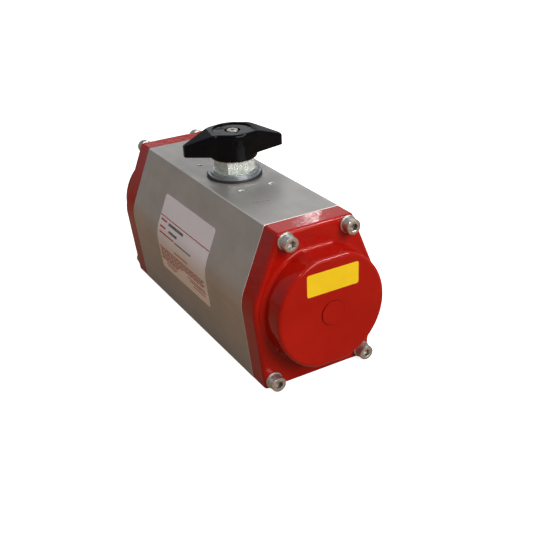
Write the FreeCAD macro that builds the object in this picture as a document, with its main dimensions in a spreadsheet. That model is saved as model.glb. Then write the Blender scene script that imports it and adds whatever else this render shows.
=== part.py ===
"""Quarter-turn pneumatic actuator: rack and pinion, double acting, with a position knob.

Frame: +Z up along the pinion, +X along the cylinder bore, -Y the plain side, +Y the air port side.
The origin is on the pinion axis in the plane of the valve mounting face. Lengths are millimetres.
"""
import FreeCAD
import Part
import math
import os

import Sketcher
from FreeCAD import Placement, Rotation, Vector

# Driving dimensions: each is written once here and kept in the document's sheet
SIZES = {
    # Housing extrusion
    "housing_length": 228.4,
    "housing_height": 137.9,
    "belt_width": 120.2,
    "top_overhang": 24.9,
    "bottom_overhang": 8.6,
    "belt_lift": 8.2,
    "belt_radius": 40.0,
    "top_corner_radius": 0.9,
    "bottom_corner_radius": 2.0,
    "end_chamfer": 0.7,
    "bore_side_wall": 7.6,
    "bore_lift": 0.05,
    # Valve flange on the bottom face
    "small_circle": 70.0,
    "small_tapping": 6.8,
    "small_depth": 14.0,
    "large_circle": 102.0,
    "large_tapping": 8.5,
    "large_depth": 16.0,
    "spigot_diameter": 55.0,
    "spigot_depth": 3.2,
    # Accessory bracket holes on the top face
    "bracket_pitch_long": 80.0,
    "bracket_pitch_short": 30.0,
    "bracket_tapping": 4.2,
    "bracket_hole_depth": 10.0,
    "bracket_countersink": 0.45,
    # Air port pad
    "pad_face_inset": 0.5,
    "pad_half_length": 29.0,
    "pad_top_drop": 6.0,
    "pad_corner_radius": 4.0,
    "port_drop": 29.0,
    "port_pitch": 24.0,
    "port_tapping": 11.8,
    "port_depth": 10.0,
    "valve_pitch_long": 32.0,
    "valve_pitch_short": 24.0,
    "valve_tapping": 4.2,
    "valve_hole_depth": 8.0,
    "passage_diameter": 5.0,
    "gallery_inset": 13.1,
    "gallery_drop": 12.0,
    "gallery_end_inset": 8.0,
    # Travel stops
    "stop_pitch": 54.0,
    "stop_boss_radius": 10.0,
    "stop_boss_inset": 3.1,
    "stop_screw_diameter": 8.0,
    "stop_tip_radius": 3.5,
    "stop_tip_length": 3.0,
    "stop_screw_show": 6.0,
    "stop_socket_width": 4.0,
    "stop_socket_depth": 4.5,
    "stop_washer_radius": 7.6,
    "stop_washer_thickness": 1.5,
    "stop_nut_width": 13.0,
    "stop_nut_thickness": 6.5,
    "stop_clearance": 0.15,
    # End caps
    "flange_thickness": 21.0,
    "cap_front_radius": 3.5,
    "cap_corner_radius": 2.5,
    "dome_radius": 51.4,
    "dome_lift": 0.5,
    "dome_flat_reach": 49.1,
    "dome_depth": 22.5,
    "dome_draft": 2.5,
    "dome_front_radius": 3.2,
    "dome_root_radius": 3.0,
    "button_radius": 10.6,
    "button_height": 0.8,
    "cap_cavity_radius": 43.0,
    "cap_front_wall": 6.0,
    "cap_spigot_length": 4.0,
    "cap_spigot_clearance": 0.3,
    "cap_spigot_wall": 4.0,
    # Cap fasteners
    "screw_top_side": 6.2,
    "screw_top_inset": 7.1,
    "screw_bottom_side": 7.5,
    "screw_bottom_height": 8.15,
    "screw_diameter": 8.0,
    "screw_length": 40.0,
    "screw_head_diameter": 13.0,
    "screw_head_height": 8.0,
    "screw_head_chamfer": 0.7,
    "screw_socket_width": 6.0,
    "screw_socket_depth": 4.0,
    "screw_hole_spare": 5.0,
    "clearance_hole_diameter": 9.0,
    "washer_diameter": 15.0,
    "washer_thickness": 1.6,
    # Cap seals
    "seal_section": 2.6,
    "seal_land": 1.6,
    # Rack and pinion
    "gear_module": 2.5,
    "gear_teeth": 16.0,
    "pressure_angle": 20.0,
    "gear_addendum": 2.4,
    "gear_dedendum": 3.1,
    "rack_addendum": 2.2,
    "rack_dedendum": 3.1,
    "backlash": 0.24,
    "gear_height": 32.0,
    "rack_height": 30.0,
    "rack_teeth": 8.0,
    # Pistons
    "rack_end_gap": 3.0,
    "piston_thickness": 22.0,
    "piston_clearance": 0.5,
    "piston_pocket_radius": 38.0,
    "piston_pocket_depth": 10.0,
    "piston_chamfer": 1.2,
    "rack_reach": 42.5,
    "rack_back_clearance": 1.1,
    "piston_seal_section": 4.2,
    "piston_seal_width": 5.4,
    "piston_seal_inset": 4.0,
    "guide_ring_width": 7.0,
    "guide_ring_depth": 2.4,
    "guide_ring_inset": 2.2,
    "rack_pad_length": 26.0,
    "rack_pad_inset": 8.0,
    "rack_pad_angle": 30.0,
    "rack_pad_seat": 1.6,
    # Pinion
    "pinion_foot_gap": 0.2,
    "lower_journal_diameter": 46.0,
    "gear_foot_margin": 2.0,
    "upper_journal_diameter": 38.0,
    "shoulder_diameter": 44.0,
    "journal_chamfer": 1.0,
    "drive_square": 22.0,
    "drive_depth": 26.0,
    "lower_bush_length": 6.8,
    "lower_bush_wall": 2.0,
    "upper_bush_length": 11.5,
    "upper_bush_wall": 2.0,
    "journal_seal_section": 2.4,
    "journal_seal_width": 3.0,
    "lower_seal_gap": 3.0,
    "upper_seal_gap": 2.8,
    "upper_seal_inset": 3.1,
    "thrust_gap": 1.05,
    "running_clearance": 0.05,
    "seal_clearance": 0.08,
    "thread_clearance": 0.05,
    # Stop cam on the pinion
    "cam_gap": 9.0,
    "cam_thickness": 10.0,
    "cam_wall": 4.0,
    "cam_lobe_height": 10.0,
    "cam_face": 14.0,
    # Thrust ring between the pinion's shoulder and the housing's ceiling
    "thrust_ring_rim": 0.8,
    "thrust_ring_thickness": 2.1,
    # Pinion head above the housing
    "face_washer_rim": 1.0,
    "face_washer_thickness": 2.1,
    "face_disc_radius": 24.0,
    "face_disc_thickness": 1.5,
    "ring_thickness": 1.4,
    "ring_band": 2.6,
    "ring_groove_depth": 1.1,
    "ring_gap": 7.0,
    "ring_gap_direction": 74.0,
    "ring_lug_radius": 2.9,
    "ring_eye_radius": 1.0,
    "head_collar": 1.2,
    "head_square": 27.0,
    "head_rise": 19.7,
    "stub_width": 15.0,
    "stub_height": 12.4,
    "stub_thread_depth": 14.0,
    # Position knob
    "knob_turn": -12.0,
    "knob_overlap": 2.3,
    "knob_hub_radius": 21.5,
    "knob_wing_lift": 5.5,
    "knob_height": 25.3,
    "knob_reach": 45.3,
    "knob_tip_half_width": 3.4,
    "knob_tip_drop": 10.0,
    "knob_crown_inset": 2.0,
    "knob_edge_radius": 2.6,
    "knob_crown_radius": 20.0,
    "knob_dish_radius": 1.0,
    "knob_foot_radius": 2.4,
    "knob_dish_rim": 3.9,
    "knob_dish_depth": 1.3,
    "knob_counterbore_spare": 2.0,
    "knob_counterbore_depth": 2.6,
    "knob_skirt_depth": 2.6,
    "knob_skirt_wall": 2.1,
    "knob_screw_diameter": 6.0,
    "knob_screw_head_radius": 5.2,
    "knob_screw_head_height": 3.0,
    "knob_screw_length": 18.0,
    "knob_screw_socket_width": 4.0,
    "knob_screw_socket_depth": 2.0,
}

doc = FreeCAD.newDocument("QuarterTurnActuator")
sheet = doc.addObject("Spreadsheet::Sheet", "Sizes")
for row, (alias, number) in enumerate(SIZES.items(), start=1):
    sheet.set("A%d" % row, alias)
    sheet.set("B%d" % row, str(number))
    sheet.setAlias("B%d" % row, alias)
doc.recompute()


class Size:
    """A number together with the sheet formula that gives it."""

    def __init__(self, value, formula):
        self.value = float(value)
        self.formula = formula

    def __add__(self, other):
        other = as_size(other)
        return Size(self.value + other.value, "(%s + %s)" % (self.formula, other.formula))

    def __sub__(self, other):
        other = as_size(other)
        return Size(self.value - other.value, "(%s - %s)" % (self.formula, other.formula))

    def __mul__(self, other):
        other = as_size(other)
        return Size(self.value * other.value, "(%s * %s)" % (self.formula, other.formula))

    def __truediv__(self, other):
        other = as_size(other)
        return Size(self.value / other.value, "(%s / %s)" % (self.formula, other.formula))

    def __radd__(self, other):
        return as_size(other) + self

    def __rsub__(self, other):
        return as_size(other) - self

    def __rmul__(self, other):
        return as_size(other) * self

    def __rtruediv__(self, other):
        return as_size(other) / self

    def __neg__(self):
        return Size(-self.value, "(0 - %s)" % self.formula)


def as_size(number):
    """Return a size for a plain number, or the size itself."""
    if isinstance(number, Size):
        return number
    return Size(number, "%.12g" % number)


def sized(alias):
    """Return the driving dimension with this name."""
    return Size(SIZES[alias], "Sizes.%s" % alias)


def root(size):
    """Return the square root of a size."""
    return Size(math.sqrt(size.value), "sqrt(%s)" % size.formula)


def sine(size):
    """Return the sine of an angle in degrees."""
    size = as_size(size)
    return Size(math.sin(math.radians(size.value)), "sin(%s)" % size.formula)


def cosine(size):
    """Return the cosine of an angle in degrees."""
    size = as_size(size)
    return Size(math.cos(math.radians(size.value)), "cos(%s)" % size.formula)


def tangent(size):
    """Return the tangent of an angle in degrees."""
    size = as_size(size)
    return Size(math.tan(math.radians(size.value)), "tan(%s)" % size.formula)


ZERO = as_size(0)


def bind(thing, **properties):
    """Tie properties of a feature to the sheet."""
    for name, size in properties.items():
        size = as_size(size)
        setattr(thing, name, size.value)
        thing.setExpression(name, size.formula)


def place(thing, x=ZERO, y=ZERO, z=ZERO, rotation=None):
    """Set a feature's place and tie the three coordinates to the sheet."""
    x, y, z = as_size(x), as_size(y), as_size(z)
    thing.Placement = Placement(Vector(x.value, y.value, z.value), rotation or Rotation())
    for axis, size in zip("xyz", (x, y, z)):
        thing.setExpression(".Placement.Base.%s" % axis, size.formula)


ALONG_X = Rotation(Vector(0, 1, 0), 90)
ALONG_Y = Rotation(Vector(1, 0, 0), -90)


def new_body(name):
    """Start a part body."""
    body = doc.addObject("PartDesign::Body", name)
    body.Label = name
    return body


def origin_feature(body, role):
    """Return one of the body's own origin planes or axes."""
    for feature in body.Origin.OriginFeatures:
        if feature.Role == role:
            return feature
    raise ValueError("no origin feature called %s" % role)


def new_sketch(body, name, plane, offset=ZERO):
    """Start a sketch on an origin plane, moved along the plane's normal by offset."""
    offset = as_size(offset)
    sketch = body.newObject("Sketcher::SketchObject", name)
    sketch.AttachmentSupport = [(origin_feature(body, plane), "")]
    sketch.MapMode = "FlatFace"
    sketch.AttachmentOffset = Placement(Vector(0, 0, offset.value), Rotation())
    sketch.setExpression(".AttachmentOffset.Base.z", offset.formula)
    return sketch


def tie(sketch, constraint, size, name):
    """Add a constraint whose value is tied to the sheet."""
    index = sketch.addConstraint(constraint)
    sketch.renameConstraint(index, name)
    sketch.setExpression("Constraints.%s" % name, size.formula)


def tie_coordinate(sketch, geometry, end, axis, size, tag):
    """Tie one coordinate of a point of the sketch to the sheet."""
    size = as_size(size)
    constraint = Sketcher.Constraint("Distance" + axis, -1, 1, geometry, end, size.value)
    tie(sketch, constraint, size, "%s_%s" % (tag, axis.lower()))


def tie_point(sketch, geometry, end, x, y, tag):
    """Tie a point of the sketch to the sheet by its two coordinates."""
    tie_coordinate(sketch, geometry, end, "X", x, tag)
    tie_coordinate(sketch, geometry, end, "Y", y, tag)


def spot_of(point):
    """Return the place of a point given by its two sizes."""
    return Vector(as_size(point[0]).value, as_size(point[1]).value, 0)


def arc_between(centre, start, finish):
    """Return the arc about a centre that runs to the left from one point to another."""
    angles = [math.atan2(point.y - centre.y, point.x - centre.x) for point in (start, finish)]
    circle = Part.Circle(centre, Vector(0, 0, 1), centre.distanceToPoint(start))
    return Part.ArcOfCircle(circle, *angles)


def draw_outline(sketch, points, rounds, tag="p"):
    """Draw a closed outline of straight sides and arcs whose corners are tied to the sheet.

    rounds holds the sides that are arcs: the number of the corner that the side starts from,
    with the arc's centre and a point in its middle. The centre is on the line that halves the
    chord, so one of its coordinates fixes the arc.
    """
    first, count = sketch.GeometryCount, len(points)
    spots = [spot_of(point) for point in points]
    ends = []
    for index, spot in enumerate(spots):
        following = spots[(index + 1) % count]
        if index in rounds:
            centre, middle = rounds[index]
            leftward = (middle - spot).cross(following - spot).z > 0
            pair = (spot, following) if leftward else (following, spot)
            sketch.addGeometry(arc_between(spot_of(centre), *pair), False)
            ends.append((1, 2) if leftward else (2, 1))
        else:
            sketch.addGeometry(Part.LineSegment(spot, following), False)
            ends.append((1, 2))
    for index, (_, finish) in enumerate(ends):
        after = (index + 1) % count
        sketch.addConstraint(Sketcher.Constraint(
            "Coincident", first + index, finish, first + after, ends[after][0]))
    for index, (x, y) in enumerate(points):
        tie_point(sketch, first + index, ends[index][0], x, y, "%s%d" % (tag, index))
    for index, (centre, _) in rounds.items():
        chord = spots[(index + 1) % count] - spots[index]
        axis = "X" if abs(chord.y) > abs(chord.x) else "Y"
        size = centre["XY".index(axis)]
        tie_coordinate(sketch, first + index, 3, axis, size, "%s%d_centre" % (tag, index))


def draw_polygon(sketch, corners, tag="p"):
    """Draw a closed polygon whose corners are tied to the sheet."""
    draw_outline(sketch, corners, {}, tag)


def draw_circle(sketch, x, y, radius, tag="c"):
    """Draw a circle whose centre and radius are tied to the sheet."""
    x, y, radius = as_size(x), as_size(y), as_size(radius)
    centre = Vector(x.value, y.value, 0)
    index = sketch.addGeometry(Part.Circle(centre, Vector(0, 0, 1), radius.value), False)
    tie_point(sketch, index, 3, x, y, tag)
    tie(sketch, Sketcher.Constraint("Radius", index, radius.value), radius, "%s_radius" % tag)


def draw_square(sketch, width, turned=False):
    """Draw a square about the sketch's origin, by its width across flats."""
    half = width / 2
    if turned:
        reach = half * math.sqrt(2)
        corners = [(reach, ZERO), (ZERO, reach), (-reach, ZERO), (ZERO, -reach)]
    else:
        corners = [(half, -half), (half, half), (-half, half), (-half, -half)]
    draw_polygon(sketch, corners)


def draw_hexagon(sketch, x, y, width):
    """Draw a hexagon by its width across flats."""
    reach = width / math.sqrt(3)
    corners = [(x + reach * cosine(60 * step), y + reach * sine(60 * step)) for step in range(6)]
    draw_polygon(sketch, corners)


def pad(body, sketch, name, length, reverse=False, symmetric=False, draft=None):
    """Raise material from a sketch."""
    feature = body.newObject("PartDesign::Pad", name)
    feature.Profile = sketch
    bind(feature, Length=length)
    feature.Reversed = reverse
    if symmetric:
        feature.SideType = "Symmetric"
    if draft is not None:
        bind(feature, TaperAngle=draft)
    return feature


def cut(body, sketch, name, depth=None, reverse=False, symmetric=False):
    """Cut material away below a sketch, to a depth or right through."""
    before = volume_of(body)
    feature = body.newObject("PartDesign::Pocket", name)
    feature.Profile = sketch
    feature.Reversed = reverse
    if symmetric:
        feature.SideType = "Symmetric"
    if depth is None:
        feature.Type = "ThroughAll"
    else:
        bind(feature, Length=depth)
    doc.recompute()
    if volume_of(body) >= before:
        raise RuntimeError("%s cuts nothing" % name)
    return feature


def volume_of(body):
    """Return the volume of a body as it stands."""
    doc.recompute()
    return body.Shape.Volume


def revolve(body, sketch, name, axis="Z_Axis", groove=False):
    """Turn a sketch right round an origin axis, as material or as a cut."""
    before = volume_of(body) if groove else 0
    kind = "PartDesign::Groove" if groove else "PartDesign::Revolution"
    feature = body.newObject(kind, name)
    feature.Profile = sketch
    feature.ReferenceAxis = (origin_feature(body, axis), [""])
    feature.Angle = 360
    doc.recompute()
    if groove and volume_of(body) >= before:
        raise RuntimeError("%s cuts nothing" % name)
    return feature


def turned_body(name, profile):
    """Make a body that is turned about Z from a profile of radius and height."""
    body = new_body(name)
    sketch = new_sketch(body, name + "_profile", "XZ_Plane")
    draw_polygon(sketch, profile)
    revolve(body, sketch, name + "_turning")
    return body


def tube_body(name, inner, outer, low, high):
    """Make a plain ring or bush about Z."""
    return turned_body(name, [(inner, low), (outer, low), (outer, high), (inner, high)])


def polar(body, feature, name, count, axis="Z_Axis"):
    """Repeat a feature round an origin axis."""
    pattern = body.newObject("PartDesign::PolarPattern", name)
    pattern.Originals = [feature]
    pattern.Axis = (origin_feature(body, axis), [""])
    pattern.Angle = 360
    pattern.Occurrences = int(count)
    body.Tip = pattern
    doc.recompute()
    return pattern


def edges_where(feature, test):
    """Name the edges of a feature that pass a test."""
    doc.recompute()
    names = ["Edge%d" % (i + 1) for i, edge in enumerate(feature.Shape.Edges) if test(edge)]
    if not names:
        raise RuntimeError("no edge of %s passes" % feature.Name)
    return names


def round_edges(body, feature, name, radius, test):
    """Fillet the edges that pass a test."""
    fillet = body.newObject("PartDesign::Fillet", name)
    fillet.Base = (feature, edges_where(feature, test))
    bind(fillet, Radius=radius)
    doc.recompute()
    return fillet


def bevel_edges(body, feature, name, size, test):
    """Chamfer the edges that pass a test."""
    chamfer = body.newObject("PartDesign::Chamfer", name)
    chamfer.Base = (feature, edges_where(feature, test))
    bind(chamfer, Size=size)
    doc.recompute()
    return chamfer


def runs_along(edge, direction):
    """Say whether an edge is straight and parallel to a direction."""
    if not isinstance(edge.Curve, Part.Line):
        return False
    return abs(abs(edge.Curve.Direction.dot(direction)) - 1) < 1e-6


def near(value, target, slack=0.02):
    """Say whether a measured number is the target."""
    return abs(value - target) < slack


X_WAY, Y_WAY, Z_WAY = Vector(1, 0, 0), Vector(0, 1, 0), Vector(0, 0, 1)

# Sizes that more than one piece uses, each worked out from the piece that it follows
half_length = sized("housing_length") / 2
housing_top = sized("housing_height")
bore_height = housing_top / 2 + sized("bore_lift")
belt_height = bore_height + sized("belt_lift")
belt_half = sized("belt_width") / 2
bore_radius = belt_half - sized("bore_side_wall")
top_half = belt_half - sized("top_overhang")
bottom_half = belt_half - sized("bottom_overhang")
pad_face = belt_half - sized("pad_face_inset")
stop_boss_face = belt_half - sized("stop_boss_inset")
gallery_side = belt_half - sized("gallery_inset")
pitch_radius = sized("gear_module") * sized("gear_teeth") / 2
rack_pitch = sized("gear_module") * math.pi
gear_low = bore_height - sized("gear_height") / 2
gear_high = bore_height + sized("gear_height") / 2
gear_foot = gear_low - sized("gear_foot_margin")

shoulder_radius = sized("shoulder_diameter") / 2
lower_journal_radius = sized("lower_journal_diameter") / 2
upper_journal_radius = sized("upper_journal_diameter") / 2
lower_bush_outer = lower_journal_radius + sized("running_clearance") + sized("lower_bush_wall")
upper_bush_outer = upper_journal_radius + sized("running_clearance") + sized("upper_bush_wall")
pinion_foot = sized("spigot_depth") + sized("pinion_foot_gap")
lower_bush_top = pinion_foot + sized("lower_bush_length")
lower_seal_height = lower_bush_top + sized("lower_seal_gap")
upper_seal_height = housing_top - sized("upper_seal_inset")
upper_bush_top = upper_seal_height - sized("upper_seal_gap")
upper_bush_low = upper_bush_top - sized("upper_bush_length")
thrust_face = upper_bush_low - sized("thrust_gap")
thrust_ring_top = thrust_face - sized("running_clearance")
thrust_ring_radius = shoulder_radius + sized("thrust_ring_rim")
shoulder_top = thrust_ring_top - sized("thrust_ring_thickness")

washer_top = housing_top + sized("face_washer_thickness")
disc_top = washer_top + sized("face_disc_thickness")
ring_groove_radius = upper_journal_radius - sized("ring_groove_depth")
ring_outer_radius = upper_journal_radius + sized("ring_band")
head_top = housing_top + sized("head_rise")
stub_top = head_top + sized("stub_height")
knob_foot = head_top - sized("knob_overlap")
knob_wing_foot = knob_foot + sized("knob_wing_lift")
knob_top = knob_foot + sized("knob_height")

cam_low = gear_high + sized("cam_gap")
cam_hub_radius = shoulder_radius + sized("cam_wall")
cam_lobe_radius = cam_hub_radius + sized("cam_lobe_height")
stop_height = cam_low + sized("cam_thickness") / 2
stop_hole_radius = sized("stop_screw_diameter") / 2 + sized("thread_clearance")
stop_nut_seat = stop_boss_face + sized("stop_washer_thickness")
stop_screw_out = stop_nut_seat + sized("stop_nut_thickness") + sized("stop_screw_show")

port_height = bore_height - sized("port_drop")
pad_half_height = sized("port_drop") - sized("pad_top_drop")
gallery_height = port_height - sized("gallery_drop")

flange_front = half_length + sized("flange_thickness")
dome_front = flange_front + sized("dome_depth")
dome_height = bore_height + sized("dome_lift")
thread_hole_radius = sized("screw_diameter") / 2 + sized("thread_clearance")

rack_back_radius = bore_radius - sized("rack_back_clearance")
rack_pad_low = -(sized("rack_reach") - sized("rack_pad_inset"))
piston_inner_face = sized("rack_reach") + sized("rack_end_gap")
piston_outer_face = piston_inner_face + sized("piston_thickness")
piston_radius = bore_radius - sized("piston_clearance")

screw_rows = (
    (top_half - sized("screw_top_side"), housing_top - sized("screw_top_inset")),
    (bottom_half - sized("screw_bottom_side"), sized("screw_bottom_height")),
)
SCREW_PLACES = [(side * half, height) for half, height in screw_rows for side in (-1, 1)]


def housing_corners():
    """Return the six corners of the housing's section, across and up."""
    return [
        (-bottom_half, ZERO), (bottom_half, ZERO), (belt_half, belt_height),
        (top_half, housing_top), (-top_half, housing_top), (-belt_half, belt_height),
    ]


def is_belt_edge(edge):
    """Say whether an edge along X is one of the two widest corners."""
    middle = edge.CenterOfMass
    return runs_along(edge, X_WAY) and near(middle.z, belt_height.value)


def is_top_corner(edge):
    """Say whether an edge along X is one of the two top corners."""
    middle = edge.CenterOfMass
    at_corner = near(abs(middle.y), top_half.value)
    return runs_along(edge, X_WAY) and near(middle.z, SIZES["housing_height"]) and at_corner


def is_bottom_corner(edge):
    """Say whether an edge along X is one of the two bottom corners."""
    middle = edge.CenterOfMass
    at_corner = near(abs(middle.y), bottom_half.value)
    return runs_along(edge, X_WAY) and near(middle.z, 0) and at_corner


def make_housing():
    """Make the extruded cylinder housing with its bores, ports and bolt holes."""
    body = new_body("housing")
    section = new_sketch(body, "housing_section", "YZ_Plane")
    draw_polygon(section, housing_corners())
    bar = pad(body, section, "housing_bar", sized("housing_length"), symmetric=True)
    rounded = round_edges(body, bar, "belt_rounding", sized("belt_radius"), is_belt_edge)
    rounded = round_edges(body, rounded, "top_rounding", sized("top_corner_radius"), is_top_corner)
    rounded = round_edges(
        body, rounded, "bottom_rounding", sized("bottom_corner_radius"), is_bottom_corner)
    add_port_pad(body)
    add_stop_bosses(body)
    bore = new_sketch(body, "bore_circle", "YZ_Plane")
    draw_circle(bore, ZERO, bore_height, bore_radius)
    cut(body, bore, "cylinder_bore", symmetric=True)
    cut_pinion_seats(body)
    cut_valve_flange(body)
    cut_bracket_holes(body)
    cut_air_ports(body)
    cut_stop_holes(body)
    cut_screw_holes(body)
    chamfer_ends(body)
    return body


def add_port_pad(body):
    """Add the flat pad that an air valve bolts to."""
    sketch = new_sketch(body, "port_pad_outline", "XZ_Plane", -pad_face)
    half = sized("pad_half_length")
    low, high = port_height - pad_half_height, port_height + pad_half_height
    draw_polygon(sketch, [
        (-half, low), (half, low), (half, high), (-half, high)])
    depth = pad_face - gallery_side
    slab = pad(body, sketch, "port_pad", depth)
    radius = sized("pad_corner_radius")
    round_edges(body, slab, "port_pad_corners", radius, lambda edge: (
        runs_along(edge, Y_WAY) and near(abs(edge.CenterOfMass.x), half.value)
        and edge.CenterOfMass.y > gallery_side.value))


def add_stop_bosses(body):
    """Add the two round bosses that the travel stop screws go through."""
    sketch = new_sketch(body, "stop_boss_outline", "XZ_Plane", -stop_boss_face)
    for tag, side in (("near", 1), ("far", -1)):
        centre = side * sized("stop_pitch") / 2
        draw_circle(sketch, centre, stop_height, sized("stop_boss_radius"), tag)
    depth = stop_boss_face - gallery_side + sized("stop_boss_radius")
    pad(body, sketch, "stop_bosses", depth)


def cut_pinion_seats(body):
    """Cut the stepped seats for the pinion's bushes and the valve spigot."""
    clear_low = lower_journal_radius + 3 * sized("seal_clearance")
    clear_high = upper_journal_radius + 3 * sized("seal_clearance")
    middle = bore_height
    beyond = sized("bracket_hole_depth")
    lower = new_sketch(body, "lower_seat_profile", "XZ_Plane")
    draw_polygon(lower, [
        (ZERO, -beyond), (sized("spigot_diameter") / 2, -beyond),
        (sized("spigot_diameter") / 2, sized("spigot_depth")),
        (lower_bush_outer, sized("spigot_depth")), (lower_bush_outer, lower_bush_top),
        (clear_low, lower_bush_top), (clear_low, middle), (ZERO, middle)])
    revolve(body, lower, "lower_seat", groove=True)
    upper = new_sketch(body, "upper_seat_profile", "XZ_Plane")
    thrust_seat = thrust_ring_radius + 3 * sized("seal_clearance")
    draw_polygon(upper, [
        (ZERO, middle), (thrust_seat, middle), (thrust_seat, thrust_face),
        (upper_bush_outer, thrust_face), (upper_bush_outer, upper_bush_top),
        (clear_high, upper_bush_top), (clear_high, housing_top + beyond),
        (ZERO, housing_top + beyond)])
    revolve(body, upper, "upper_seat", groove=True)


def cut_valve_flange(body):
    """Cut the two bolt circles of the valve flange, four holes each at 45 degrees."""
    for size in ("small", "large"):
        sketch = new_sketch(body, "%s_flange_hole" % size, "XY_Plane")
        reach = sized("%s_circle" % size) / 2 / math.sqrt(2)
        draw_circle(sketch, reach, reach, sized("%s_tapping" % size) / 2)
        hole = cut(body, sketch, "%s_flange_cut" % size, sized("%s_depth" % size), reverse=True)
        polar(body, hole, "%s_flange_circle" % size, 4)


def cut_bracket_holes(body):
    """Cut the four bracket holes in the top face, lightly countersunk."""
    long_half, short_half = sized("bracket_pitch_long") / 2, sized("bracket_pitch_short") / 2
    radius = sized("bracket_tapping") / 2
    spots = [(x, y) for x in (long_half, -long_half) for y in (short_half, -short_half)]
    sketch = new_sketch(body, "bracket_hole_circles", "XY_Plane", housing_top)
    for index, (x, y) in enumerate(spots):
        draw_circle(sketch, x, y, radius, "c%d" % index)
    holes = cut(body, sketch, "bracket_holes", sized("bracket_hole_depth"))
    bevel_edges(body, holes, "bracket_countersinks", sized("bracket_countersink"), lambda edge: (
        isinstance(edge.Curve, Part.Circle) and near(edge.Curve.Radius, radius.value)
        and near(edge.CenterOfMass.z, housing_top.value)))


def cut_air_ports(body):
    """Cut the two air ports, the valve bolt holes and the passages inside the wall."""
    face = -pad_face
    port_half = sized("port_pitch") / 2
    ports = new_sketch(body, "port_circles", "XZ_Plane", face)
    for tag, side in (("near", 1), ("far", -1)):
        draw_circle(ports, side * port_half, port_height, sized("port_tapping") / 2, tag)
    cut(body, ports, "air_ports", sized("port_depth"), reverse=True)
    bolts = new_sketch(body, "valve_bolt_circles", "XZ_Plane", face)
    half_long, half_short = sized("valve_pitch_long") / 2, sized("valve_pitch_short") / 2
    spots = [(x, port_height + z) for x in (half_long, -half_long) for z in (half_short, -half_short)]
    for index, (x, z) in enumerate(spots):
        draw_circle(bolts, x, z, sized("valve_tapping") / 2, "c%d" % index)
    cut(body, bolts, "valve_bolt_holes", sized("valve_hole_depth"), reverse=True)
    radius = sized("passage_diameter") / 2
    centre_passage = new_sketch(body, "centre_passage_circle", "XZ_Plane", face)
    draw_circle(centre_passage, -port_half, port_height, radius)
    cut(body, centre_passage, "centre_passage", pad_face - bore_radius / 2, reverse=True)
    gallery = new_sketch(body, "gallery_circle", "YZ_Plane")
    draw_circle(gallery, gallery_side, gallery_height, radius)
    run = sized("housing_length") - 2 * sized("gallery_end_inset")
    cut(body, gallery, "end_gallery", run, symmetric=True)
    riser = new_sketch(body, "gallery_riser_circle", "XY_Plane", gallery_height)
    riser_side = pad_face - sized("port_depth")
    draw_circle(riser, port_half - radius / 2, riser_side, radius)
    cut(body, riser, "gallery_riser", port_height - gallery_height, reverse=True)
    branches = new_sketch(body, "branch_circles", "XZ_Plane", -gallery_side)
    place_x = half_length - sized("gallery_end_inset") - radius
    for tag, side in (("near", 1), ("far", -1)):
        draw_circle(branches, side * place_x, gallery_height, radius - 0.5, tag)
    cut(body, branches, "end_branches", gallery_side - bore_radius / 2, reverse=True)


def cut_stop_holes(body):
    """Cut the threaded holes for the travel stop screws."""
    sketch = new_sketch(body, "stop_hole_circles", "XZ_Plane", -stop_boss_face)
    for tag, side in (("near", 1), ("far", -1)):
        draw_circle(sketch, side * sized("stop_pitch") / 2, stop_height, stop_hole_radius, tag)
    cut(body, sketch, "stop_holes", stop_boss_face - bore_radius / 2, reverse=True)


def cut_screw_holes(body):
    """Cut the blind threaded holes for the cap screws in both ends."""
    grip = sized("flange_thickness") + sized("washer_thickness")
    depth = sized("screw_length") - grip + sized("screw_hole_spare")
    for end, side in (("near", 1), ("far", -1)):
        sketch = new_sketch(body, "%s_screw_circles" % end, "YZ_Plane", side * half_length)
        for index, (y, z) in enumerate(SCREW_PLACES):
            draw_circle(sketch, y, z, thread_hole_radius, "c%d" % index)
        cut(body, sketch, "%s_screw_holes" % end, depth, reverse=side < 0)


def chamfer_ends(body):
    """Break the outer edges of both end faces."""
    def on_end_outline(edge):
        middle = edge.CenterOfMass
        if not near(abs(middle.x), half_length.value) or not near(edge.BoundBox.XLength, 0):
            return False
        away = math.hypot(middle.y, middle.z - bore_height.value)
        is_hole = isinstance(edge.Curve, Part.Circle) and edge.isClosed()
        return away > bore_radius.value and not is_hole

    bevel_edges(body, body.Tip, "end_bevels", sized("end_chamfer"), on_end_outline)


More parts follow.
